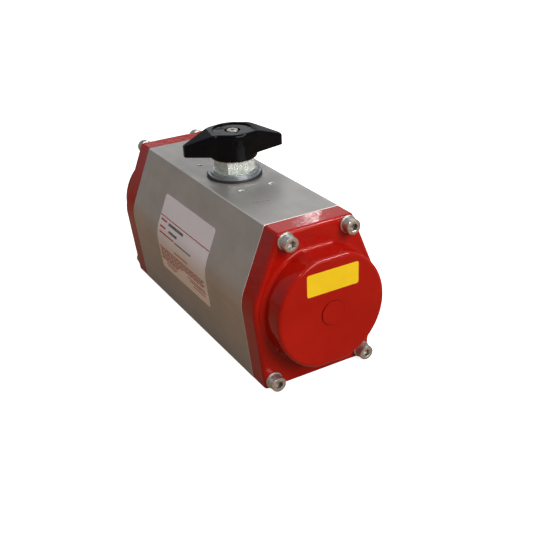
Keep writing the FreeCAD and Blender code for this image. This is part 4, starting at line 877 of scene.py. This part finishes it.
class Surface:
    """The skin of a CAD node, to lay films on."""

    def __init__(self, node: str) -> None:
        """Read the node's mesh.

        Args:
            node: The CAD node's name.
        """
        data = bpy.data.objects[node].data
        corners = [vert.co.copy() for vert in data.vertices]
        self.tree = BVHTree.FromPolygons(corners, [tuple(face.vertices) for face in data.polygons])

    def hit(self, start: Vector, way: Vector) -> Vector:
        """Find where a line first meets the skin.

        Args:
            start: Where the line starts.
            way: The direction that it takes.

        Returns:
            The place.

        Raises:
            ValueError: The line misses the skin.
        """
        place = self.tree.ray_cast(start, way)[0]
        if place is None:
            raise ValueError("a film reaches past the surface that it lies on")
        return place


# Sub-assemblies


@dataclass(frozen=True)
class Bar:
    """A printed bar on the label: its two ends along X and its two heights, in millimetres."""

    start: float
    end: float
    low: float
    high: float


@dataclass
class HousingLabel:
    """The white film on the plain side, printed with plain bars.

    The bars and what makes the fine print are in millimetres.
    """

    surface: Surface
    edge: Bar = Bar(-53.4, 48.1, 39.0, 112.5)
    corner: float = 3.0 * MM
    film: float = 0.12 * MM
    ink: float = 0.03 * MM
    gap: float = 0.01 * MM
    cut: float = 0.8 * MM
    clear: float = 0.2
    rule: Bar = Bar(-53.2, 47.9, 93.2, 94.1)
    headings: tuple[Bar, ...] = (
        Bar(-50, -37, 89.6, 91.2), Bar(-49, -37, 83.4, 85.0), Bar(-48.8, -17, 78.2, 79.6))
    entries: tuple[Bar, ...] = (
        Bar(-33.5, -2, 88.7, 91.2), Bar(-30, -12, 82.8, 85.1), Bar(-14.7, 19, 77.9, 79.2))
    title: Bar = Bar(-17, 12, 66.9, 69.3)
    text_start: float = -51.0
    text_indent: float = 0.6
    text_high: float = 63.6
    text_pitch: float = 2.15
    text_bar: float = 1.35
    word: Span = (5.0, 8.4)
    word_sway: Span = (2.3, 1.7)
    word_gap: float = 0.8
    last_word: float = 4.0
    line_ends: tuple[float, ...] = (44.0, 43.0, 44.0, 42.0, -4.0, -9.0, -16.0)
    notes: tuple[Bar, ...] = (
        Bar(-42, -18, 46.6, 47.6), Bar(-40, -22, 44.4, 45.3), Bar(6, 42, 51.9, 53.0),
        Bar(10, 43, 49.5, 50.6), Bar(16, 41, 46.0, 47.0))

    def build(self, palette: Palette) -> None:
        """Make the film and each colour of print.

        Args:
            palette: The finishes.
        """
        film = self.lay(self.edge, self.corner, 0.0, self.film)
        finish_piece(film, "side_label", palette.label, Body.HOUSING)
        prints = {
            "label_headings": (palette.red_ink, (self.rule, *self.headings)),
            "label_entries": (palette.black_ink, self.entries),
            "label_title": (palette.orange_ink, (self.title,)),
            "label_text": (palette.brown_ink, (*self.text_bars(), *self.notes)),
        }
        for name, (material, bars) in prints.items():
            mesh = bmesh.new()
            for bar in bars:
                merge_into(mesh, self.lay(bar, 0.0, self.film, self.ink))
            finish_piece(mesh, name, material, Body.HOUSING)

    def text_bars(self) -> list[Bar]:
        """Break each line of fine print into short runs, as words would be.

        Returns:
            The runs.
        """
        bars = []
        (shortest, longest), (sway, shift) = self.word, self.word_sway
        for row, end in enumerate(self.line_ends):
            high = self.text_high - row * self.text_pitch
            place = self.text_start + self.text_indent * (row % 2)
            count = 0
            while place < end - self.last_word:
                run = shortest + (longest - shortest) * math.sin(sway * count + shift * row) ** 2
                bars.append(Bar(place, min(place + run, end), high - self.text_bar, high))
                place += run + self.word_gap
                count += 1
        return bars

    def lay(self, bar: Bar, corner: float, rise: float, thickness: float) -> BMesh:
        """Lay one film on the side.

        Args:
            bar: Its ends and heights.
            corner: Its corner radius.
            rise: How far its back lies off the surface.
            thickness: Its own thickness.

        Returns:
            The film's mesh.
        """
        mesh = bmesh.new()
        width, height = (bar.end - bar.start) * MM, (bar.high - bar.low) * MM
        middle = ((bar.start + bar.end) / 2 * MM, (bar.low + bar.high) / 2 * MM)
        for vert in rounded_plate(mesh, width, height, corner, self.cut):
            start = Vector((vert.co.x + middle[0], -self.clear, vert.co.z + middle[1]))
            hit = self.surface.hit(start, Vector((0, 1, 0)))
            vert.co = hit - Vector((0, rise + self.gap, 0))
        thicken(mesh, (0, -thickness, 0))
        return mesh


@dataclass(frozen=True)
class Thread:
    """A hole's thread: its radius, its pitch, its length and how far behind the mouth it starts."""

    radius: float
    pitch: float
    length: float
    start: float


@dataclass
class HoleThreads:
    """The threads that show in the housing's open holes."""

    depth: float = 0.28 * MM
    top_half: Span = (40 * MM, 15 * MM)
    top: Thread = Thread(2.1 * MM, 0.8 * MM, 8 * MM, 1.0 * MM)
    pad_face: float = 59.6 * MM
    pad_height: float = 40 * MM
    pad_half: Span = (16 * MM, 12 * MM)
    pad: Thread = Thread(2.1 * MM, 0.8 * MM, 6.4 * MM, 0.5 * MM)
    port_half: float = 12 * MM
    port: Thread = Thread(5.9 * MM, 1.34 * MM, 7 * MM, 0.8 * MM)
    small_reach: float = 35 / math.sqrt(2) * MM
    small: Thread = Thread(3.4 * MM, 1.25 * MM, 11 * MM, 0.8 * MM)
    large_reach: float = 51 / math.sqrt(2) * MM
    large: Thread = Thread(4.25 * MM, 1.5 * MM, 11 * MM, 0.8 * MM)

    def build(self, palette: Palette) -> None:
        """Make one piece for each face's threads.

        Args:
            palette: The finishes.
        """
        top_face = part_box("housing")[1].z
        top = [(self.top, (x, y, top_face)) for x, y in self.corners(*self.top_half)]
        pad = [(self.pad, (x, self.pad_face, self.pad_height + rise))
               for x, rise in self.corners(*self.pad_half)]
        ports = [(self.port, (x, self.pad_face, self.pad_height)) for x in (-self.port_half, self.port_half)]
        flange = [
            (thread, (x, y, 0.0))
            for reach, thread in ((self.small_reach, self.small), (self.large_reach, self.large))
            for x, y in self.corners(reach, reach)]
        faces = {
            "bracket_threads": (top, (0, 0, -1)),
            "port_pad_threads": (pad + ports, (0, -1, 0)),
            "flange_threads": (flange, (0, 0, 1)),
        }
        for name, (holes, way) in faces.items():
            mesh = bmesh.new()
            for thread, mouth in holes:
                self.wind(mesh, thread, Vector(mouth), Vector(way))
            finish_piece(mesh, name, palette.extrusion, Body.HOUSING)

    @staticmethod
    def corners(across: float, up: float) -> Iterable[Span]:
        """Return the four corners of a pattern, from its half widths."""
        return product((-across, across), (-up, up))

    def wind(self, mesh: BMesh, thread: Thread, mouth: Vector, way: Vector) -> None:
        """Wind one hole's thread, from its mouth inwards.

        Args:
            mesh: The mesh to add to.
            thread: The thread's sizes.
            mouth: The middle of the hole's mouth.
            way: The direction into the hole.
        """
        verts = add_thread(mesh, thread.radius, thread.radius - self.depth, thread.pitch, thread.length)
        place_verts(mesh, verts, Vector((1, 0, 0)).rotation_difference(way), mouth + way * thread.start)


@dataclass
class CapScrews:
    """The socket head screws and washers of both end caps."""

    top_half: float = 29.0 * MM
    bottom_half: float = 44.0 * MM
    top_height: float = 130.8 * MM
    bottom_height: float = 8.15 * MM
    first_turn: float = 17.0
    next_turn: float = 41.0
    head_radius: float = 6.5 * MM
    head_height: float = 8.0 * MM
    shank_radius: float = 4.0 * MM
    socket_half: float = 3.0 * MM
    socket_mouth: float = 3.27 * MM
    socket_lead: float = 0.35 * MM
    socket_depth: float = 4.0 * MM
    socket_cone: float = 1.2 * MM
    socket_reach: float = 3.83 * MM
    edge: float = 0.7 * MM
    foot_edge: float = 0.3 * MM
    foot_draw: float = 0.05 * MM
    crown_draw: float = 0.1 * MM
    knurl_depth: float = 0.16 * MM
    knurl_start: float = 0.5 * MM
    knurl_stop: float = 0.3 * MM
    steps: int = 84
    washer_steps: int = 60
    washer_radius: float = 7.5 * MM
    washer_thickness: float = 1.6 * MM
    washer_edge: float = 0.25 * MM
    washer_clearance: float = 0.2 * MM

    def places(self) -> list[Span]:
        """Return the four places across and up."""
        rows = ((self.top_half, self.top_height), (self.bottom_half, self.bottom_height))
        return [(side * half, height) for half, height in rows for side in (-1, 1)]

    def build(self, palette: Palette) -> None:
        """Make the screws and washers of each end.

        Args:
            palette: The finishes.
        """
        for end, way in (("near", 1), ("far", -1)):
            low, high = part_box(f"{end}_cap_screws")
            tip, face = (low.x, high.x) if way > 0 else (-high.x, -low.x)
            screws, washers = bmesh.new(), bmesh.new()
            for index, (across, height) in enumerate(self.places()):
                spin = Quaternion((1, 0, 0), math.radians(self.first_turn + self.next_turn * index))
                turn = Quaternion((0, 0, 1), 0 if way > 0 else math.pi) @ spin
                place = Vector((0, way * across, height))
                place_verts(screws, self.add_screw(screws, tip, face), turn, place)
                place_verts(washers, self.add_washer(washers, face - self.head_height), turn, place)
            screw_piece = finish_piece(
                screws, f"{end}_cap_screw_set", palette.stainless, Body.HOUSING,
                sharp=25, inner=palette.socket)
            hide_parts(f"{end}_cap_screws")
            washer_piece = finish_piece(
                washers, f"{end}_cap_washer_set", palette.stainless, Body.HOUSING, sharp=50)
            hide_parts(f"{end}_cap_washers")

    def add_screw(self, mesh: BMesh, tip: float, face: float) -> list[BMVert]:
        """Turn one screw, from its tip over its knurled head into its socket.

        Args:
            mesh: The mesh to add to.
            tip: Where its tip is along X.
            face: Where its head's face is along X.

        Returns:
            The new vertices.
        """
        seat, floor = face - self.head_height, face - self.socket_depth
        shank, head, edge, foot = self.shank_radius, self.head_radius, self.edge, self.foot_edge
        rings = [
            Ring(tip, 0), Ring(tip, shank - edge), Ring(tip + edge, shank), Ring(seat, shank),
            Ring(seat, head - foot), Ring(seat + foot, head - self.foot_draw),
            Ring(seat + self.knurl_start, head, Form.KNURL),
            Ring(face - edge - self.knurl_stop, head, Form.KNURL),
            Ring(face - edge, head - self.crown_draw), Ring(face - edge * 0.3, head - edge * 0.5),
            Ring(face, head - edge * 1.2), Ring(face, self.socket_mouth * 1.2),
            Ring(face - 0.02 * MM, self.socket_mouth, Form.HEXAGON),
            Ring(face - self.socket_lead, self.socket_half, Form.HEXAGON),
            Ring(floor, self.socket_half, Form.HEXAGON),
            Ring(floor - 0.01 * MM, self.socket_half * 0.96), Ring(floor - self.socket_cone, 0),
        ]
        verts = turn_piece(mesh, rings, self.steps, self.knurl_depth)
        self.shade_socket(verts, face - self.socket_lead)
        return verts

    def shade_socket(self, verts: Iterable[BMVert], mouth: float) -> None:
        """Mark the faces of a socket for the inner finish, a darker steel that paints shade into the recess.

        Args:
            verts: The screw's vertices, still about the X axis.
            mouth: How far along X the socket's faces reach.
        """
        for face in {face for vert in verts for face in vert.link_faces}:
            middle = face.calc_center_median()
            inside = math.hypot(middle.y, middle.z) < self.socket_reach
            if inside and middle.x < mouth and face.normal.x > -0.5:
                face.material_index = 1

    def add_washer(self, mesh: BMesh, seat: float) -> list[BMVert]:
        """Turn one washer with its edges broken.

        Args:
            mesh: The mesh to add to.
            seat: Where the screw's head sits on it along X.

        Returns:
            The new vertices.
        """
        low, edge, outer = seat - self.washer_thickness, self.washer_edge, self.washer_radius
        inner = self.shank_radius + self.washer_clearance
        rings = [
            Ring(low, inner), Ring(low, outer - edge), Ring(low + edge, outer),
            Ring(seat - edge, outer), Ring(seat, outer - edge), Ring(seat, inner), Ring(low, inner),
        ]
        return turn_piece(mesh, rings, self.washer_steps)


@dataclass
class EndSticker:
    """The plain yellow film on the near dome."""

    half_width: float = 24.2 * MM
    low: float = 88.9 * MM
    high: float = 108.2 * MM
    corner: float = 1.8 * MM
    film: float = 0.12 * MM
    dome_face: float = 157.7 * MM

    def build(self, palette: Palette) -> None:
        """Make the film flat on the dome's face.

        Args:
            palette: The finishes.
        """
        mesh = bmesh.new()
        height = self.high - self.low
        verts = rounded_plate(mesh, 2 * self.half_width, height, self.corner, height)
        turn = Quaternion((0, 0, 1), math.radians(90))
        place_verts(mesh, verts, turn, Vector((self.dome_face, 0, (self.low + self.high) / 2)))
        thicken(mesh, (self.film, 0, 0))
        finish_piece(mesh, "end_sticker", palette.yellow, Body.HOUSING)


@dataclass
class ScribedArc:
    """The broken arc that handling left on the housing's top."""

    lift: float = 0.015 * MM
    width: float = 0.7 * MM
    start: Span = (68.6 * MM, -21.3 * MM)
    end: Span = (72.2 * MM, -6.1 * MM)
    bow: float = 60 * MM
    runs: tuple[Span, ...] = ((0.0, 0.18), (0.24, 0.5), (0.6, 0.72), (0.84, 1.0))

    def build(self, palette: Palette) -> None:
        """Make the arc as a few thin runs on the top face.

        Args:
            palette: The finishes.
        """
        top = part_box("housing")[1].z
        start, end = Vector((*self.start, 0)), Vector((*self.end, 0))
        chord = end - start
        side = Vector((-chord.y, chord.x, 0)).normalized()
        drop = math.sqrt(self.bow ** 2 - (chord.length / 2) ** 2)
        centre = (start + end) / 2 + side * drop
        whole = 2 * math.asin(chord.length / 2 / self.bow)
        mesh = bmesh.new()
        for first, last in self.runs:
            spoke = Quaternion((0, 0, 1), whole * first) @ (start - centre).normalized()
            ends = [centre + spoke * (self.bow + shift) for shift in (-self.width / 2, self.width / 2)]
            verts = [mesh.verts.new((place.x, place.y, top + self.lift)) for place in ends]
            edge = mesh.edges.new(verts)
            bmesh.ops.spin(mesh, geom=[edge, *verts], cent=centre, axis=(0, 0, 1), dvec=(0, 0, 0),
                           angle=whole * (last - first), steps=6, use_merge=False)
        finish_piece(mesh, "top_scribe", palette.scratch, Body.HOUSING)


@dataclass
class TravelStops:
    """The threaded stop screws and their lock nuts on the port side."""

    half_pitch: float = 27 * MM
    height: float = 99 * MM
    radius: float = 4.0 * MM
    thread_depth: float = 0.62 * MM
    crest_clearance: float = 0.02 * MM
    pitch: float = 1.25 * MM
    tip_radius: float = 3.5 * MM
    tip_length: float = 3.0 * MM
    tip_edge: float = 0.3 * MM
    neck: float = 0.4 * MM
    head_edge: float = 0.5 * MM
    thread_start: float = 1.0 * MM
    thread_ends: float = 2.2 * MM
    socket_half: float = 2.0 * MM
    socket_depth: float = 4.5 * MM
    socket_cone: float = 0.8 * MM
    nut_half: float = 6.5 * MM
    nut_edge: float = 0.6 * MM
    nut_lead: float = 0.4 * MM
    nut_clearance: float = 0.05 * MM
    steps: int = 60
    thread_steps: int = 30

    def build(self, palette: Palette) -> None:
        """Make each stop's screw and nut.

        Args:
            palette: The finishes.
        """
        turn = Quaternion((0, 0, 1), math.radians(90))
        for name, side, body in (("shut", -1, Body.SHUT_STOP), ("open", 1, Body.OPEN_STOP)):
            place = Vector((side * self.half_pitch, 0, self.height))
            screw, nut = bmesh.new(), bmesh.new()
            place_verts(screw, self.add_screw(screw, *self.reach(f"{name}_stop_screw")), turn, place)
            piece = finish_piece(
                screw, f"{name}_stop_threaded_screw", palette.stainless, body, sharp=25)
            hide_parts(f"{name}_stop_screw")
            place_verts(nut, self.add_nut(nut, *self.reach(f"{name}_stop_nut")), turn, place)
            piece = finish_piece(
                nut, f"{name}_stop_lock_nut", palette.stainless, Body.HOUSING, sharp=25)
            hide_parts(f"{name}_stop_nut")

    @staticmethod
    def reach(node: str) -> Span:
        """Return how far a CAD node reaches along Y."""
        low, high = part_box(node)
        return low.y, high.y

    def add_screw(self, mesh: BMesh, low: float, high: float) -> list[BMVert]:
        """Turn one screw: a plain tip, a core with a wound thread, and a socket.

        Args:
            mesh: The mesh to add to.
            low: Where its tip is along the axis.
            high: Where its socket's end is along the axis.

        Returns:
            The new vertices.
        """
        tip, core, socket = self.tip_radius, self.radius - self.thread_depth, self.socket_half
        foot, floor = low + self.tip_length, high - self.socket_depth
        rings = [
            Ring(low, 0), Ring(low, tip - self.tip_edge), Ring(low + self.tip_edge, tip),
            Ring(foot, tip), Ring(foot + self.neck, core), Ring(high - self.head_edge, core),
            Ring(high, core - self.head_edge), Ring(high, socket * 1.25),
            Ring(high - 0.01 * MM, socket, Form.HEXAGON), Ring(floor, socket, Form.HEXAGON),
            Ring(floor - self.socket_cone, 0),
        ]
        verts = turn_piece(mesh, rings, self.steps)
        thread = add_thread(mesh, core, self.radius - self.crest_clearance, self.pitch,
                            high - foot - self.thread_ends, self.thread_steps)
        bmesh.ops.translate(mesh, vec=(foot + self.thread_start, 0, 0), verts=thread)
        return verts + thread

    def add_nut(self, mesh: BMesh, low: float, high: float) -> list[BMVert]:
        """Turn one lock nut with its corners chamfered.

        Args:
            mesh: The mesh to add to.
            low: Where it starts along the axis.
            high: Where it ends.

        Returns:
            The new vertices.
        """
        edge, half, lead = self.nut_edge, self.nut_half, self.nut_lead
        inner = self.radius + self.nut_clearance
        rings = [
            Ring(low, inner), Ring(low, half * 0.97), Ring(low + edge, half, Form.HEXAGON),
            Ring(high - edge, half, Form.HEXAGON), Ring(high, half * 0.97), Ring(high, inner + lead),
            Ring(high - lead, inner), Ring(low, inner),
        ]
        return turn_piece(mesh, rings, self.steps)


@dataclass
class FrameDressing:
    """Gives every CAD node its finish."""

    nodes: dict[str, Object]

    def build(self, palette: Palette) -> None:
        """Put a finish in each node's material slots.

        Args:
            palette: The finishes.
        """
        finishes: dict[str, Material] = {
            "housing": palette.extrusion, "face_washer": palette.black, "face_disc": palette.disc,
            "retaining_ring": palette.disc, "pinion": palette.plate, "stop_cam": palette.plate,
            "knob": palette.knob, "knob_screw": palette.stainless, "thrust_ring": palette.bearing,
        }
        endings = {
            "end_cap": palette.red, "cap_screws": palette.stainless, "cap_washers": palette.stainless,
            "seal": palette.rubber, "stop_washer": palette.rubber, "piston": palette.casting,
            "guide_ring": palette.bearing, "rack_pad": palette.bearing, "bush": palette.bearing,
            "stop_screw": palette.stainless, "stop_nut": palette.stainless,
        }
        for name, node in self.nodes.items():
            material = finishes.get(name) or next(
                finish for ending, finish in endings.items() if name.endswith(ending))
            for slot in node.material_slots:
                slot.material = material
        log.info("dressed %d CAD nodes", len(self.nodes))


# Studio


@dataclass(frozen=True)
class Lamp:
    """A soft square lamp: its place, the length of its side, its power in watts and its colour."""

    name: str
    place: Place
    side: float
    power: float
    colour: Colour


@dataclass
class Studio:
    """The pale floor, the soft lamps and the camera, with its angles in degrees."""

    floor_half: float = 9.0
    floor_seen: Colour = (0.82, 0.81, 0.80)
    floor_glow: Colour = (0.86, 0.86, 0.86)
    floor_bounce: Colour = (0.30, 0.15, 0.04)
    mirrored: float = 0.1
    world: Colour = (0.17, 0.17, 0.175)
    world_seen: Colour = (1.0, 1.0, 1.0)
    target: Place = (0, 0.029018, 0.035646)
    distance: float = 0.82524
    azimuth: float = 60.794
    elevation: float = 26.784
    roll: float = -2.309
    lens: float = 57.2
    sensor: float = 36.0
    lamps: tuple[Lamp, ...] = (
        Lamp("key", (1.95, 0.4, 1.45), 1.5, 55.0, (1.0, 0.98, 0.95)),
        Lamp("back", (-1.3, 0.95, 1.44), 1.6, 6.3, (0.97, 0.99, 1.0)),
        Lamp("window", (-1.343, 0.937, 0.9), 0.035, 0.12, (0.97, 0.99, 1.0)),
        Lamp("over", (0.6, 0.95, 1.65), 0.25, 8.0, (1.0, 1.0, 1.0)),
        Lamp("ceiling", (0.28, -0.9, 1.7), 0.2, 4.5, (1.0, 1.0, 1.0)),
        Lamp("side", (-1.2, -1.6, 0.8), 2.4, 3.4, (1.0, 0.98, 0.97)),
    )

    def build(self) -> None:
        """Make the floor, the world, the lamps and the camera."""
        bpy.context.scene.view_settings.view_transform = "Standard"
        self.build_floor()
        self.build_world()
        for lamp in self.lamps:
            self.build_lamp(lamp)
        self.build_camera()

    def build_floor(self) -> None:
        """Make a floor that is white to the eye and dimmer in what it throws back."""
        mesh = bmesh.new()
        bmesh.ops.create_grid(mesh, x_segments=1, y_segments=1, size=self.floor_half)
        floor = new_object(mesh, "floor")
        material = new_material("pale_floor")
        graph = Graph(material.node_tree)
        bounce, cover = (
            graph.add("ShaderNodeBsdfDiffuse", {"Color": opaque(colour)})
            for colour in (self.floor_bounce, self.floor_seen))
        glow = graph.add("ShaderNodeEmission", {"Color": opaque(self.floor_glow), "Strength": 1.0})
        both = graph.add("ShaderNodeAddShader", {0: cover.outputs[0], 1: glow.outputs[0]})
        shader = graph.add("ShaderNodeMixShader", {
            0: self.backdrop_share(graph), 1: bounce.outputs[0], 2: both.outputs[0]})
        graph.add("ShaderNodeOutputMaterial", {"Surface": shader.outputs[0]})
        floor.data.materials.append(material)

    def backdrop_share(self, graph: Graph) -> NodeSocket:
        """Work out how much of the pale backdrop a ray sees: all to the eye, some in the metal.

        Args:
            graph: The nodes of the floor or the world.

        Returns:
            The share.
        """
        rays = graph.add("ShaderNodeLightPath").outputs
        glossy = graph.math("MULTIPLY", rays["Is Glossy Ray"], self.mirrored)
        through = graph.math("MAXIMUM", glossy, rays["Is Transmission Ray"])
        return graph.math("MAXIMUM", rays["Is Camera Ray"], through)

    def build_world(self) -> None:
        """Light everything evenly with a plain grey world, which is pale to the eye."""
        world = bpy.data.worlds.new("studio")
        world.use_nodes = True
        world.node_tree.nodes.clear()
        graph = Graph(world.node_tree)
        colour = graph.mix(self.backdrop_share(graph), self.world, self.world_seen)
        background = graph.add("ShaderNodeBackground", {"Color": colour, "Strength": 1.0})
        graph.add("ShaderNodeOutputWorld", {"Surface": background.outputs[0]})
        bpy.context.scene.world = world

    def build_lamp(self, lamp: Lamp) -> None:
        """Hang one lamp so that it looks at the actuator.

        Args:
            lamp: The lamp.
        """
        data = bpy.data.lights.new(lamp.name, "AREA")
        data.energy, data.size, data.color = lamp.power, lamp.side, lamp.colour
        hung = bpy.data.objects.new(lamp.name, data)
        hung.location = lamp.place
        way = Vector(self.target) - Vector(lamp.place)
        hung.rotation_euler = way.to_track_quat("-Z", "Y").to_euler()
        bpy.context.scene.collection.objects.link(hung)

    def build_camera(self) -> None:
        """Stand the camera where the photograph was taken from."""
        azimuth, elevation = math.radians(self.azimuth), math.radians(self.elevation)
        back = Vector((math.sin(azimuth) * math.cos(elevation), -math.cos(azimuth) * math.cos(elevation),
                       math.sin(elevation)))
        data = bpy.data.cameras.new("camera")
        data.lens, data.sensor_width = self.lens, self.sensor
        camera = bpy.data.objects.new("camera", data)
        camera.rotation_mode = "QUATERNION"
        camera.location = Vector(self.target) + back * self.distance
        roll = Quaternion((0, 0, 1), math.radians(self.roll))
        camera.rotation_quaternion = (-back).to_track_quat("-Z", "Y") @ roll
        bpy.context.scene.collection.objects.link(camera)
        bpy.context.scene.camera = camera


def main() -> None:
    """Load the frame, dress it, add the pieces and set the studio."""
    logging.basicConfig(level=logging.INFO, format="%(name)s: %(message)s")
    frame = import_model()
    palette = Palette()
    Studio().build()
    FrameDressing(frame["nodes"]).build(palette)
    for part in (HousingLabel(Surface("housing")), EndSticker(), ScribedArc(), HoleThreads(), CapScrews(),
                 TravelStops()):
        part.build(palette)


if __name__ == "__main__":
    main()
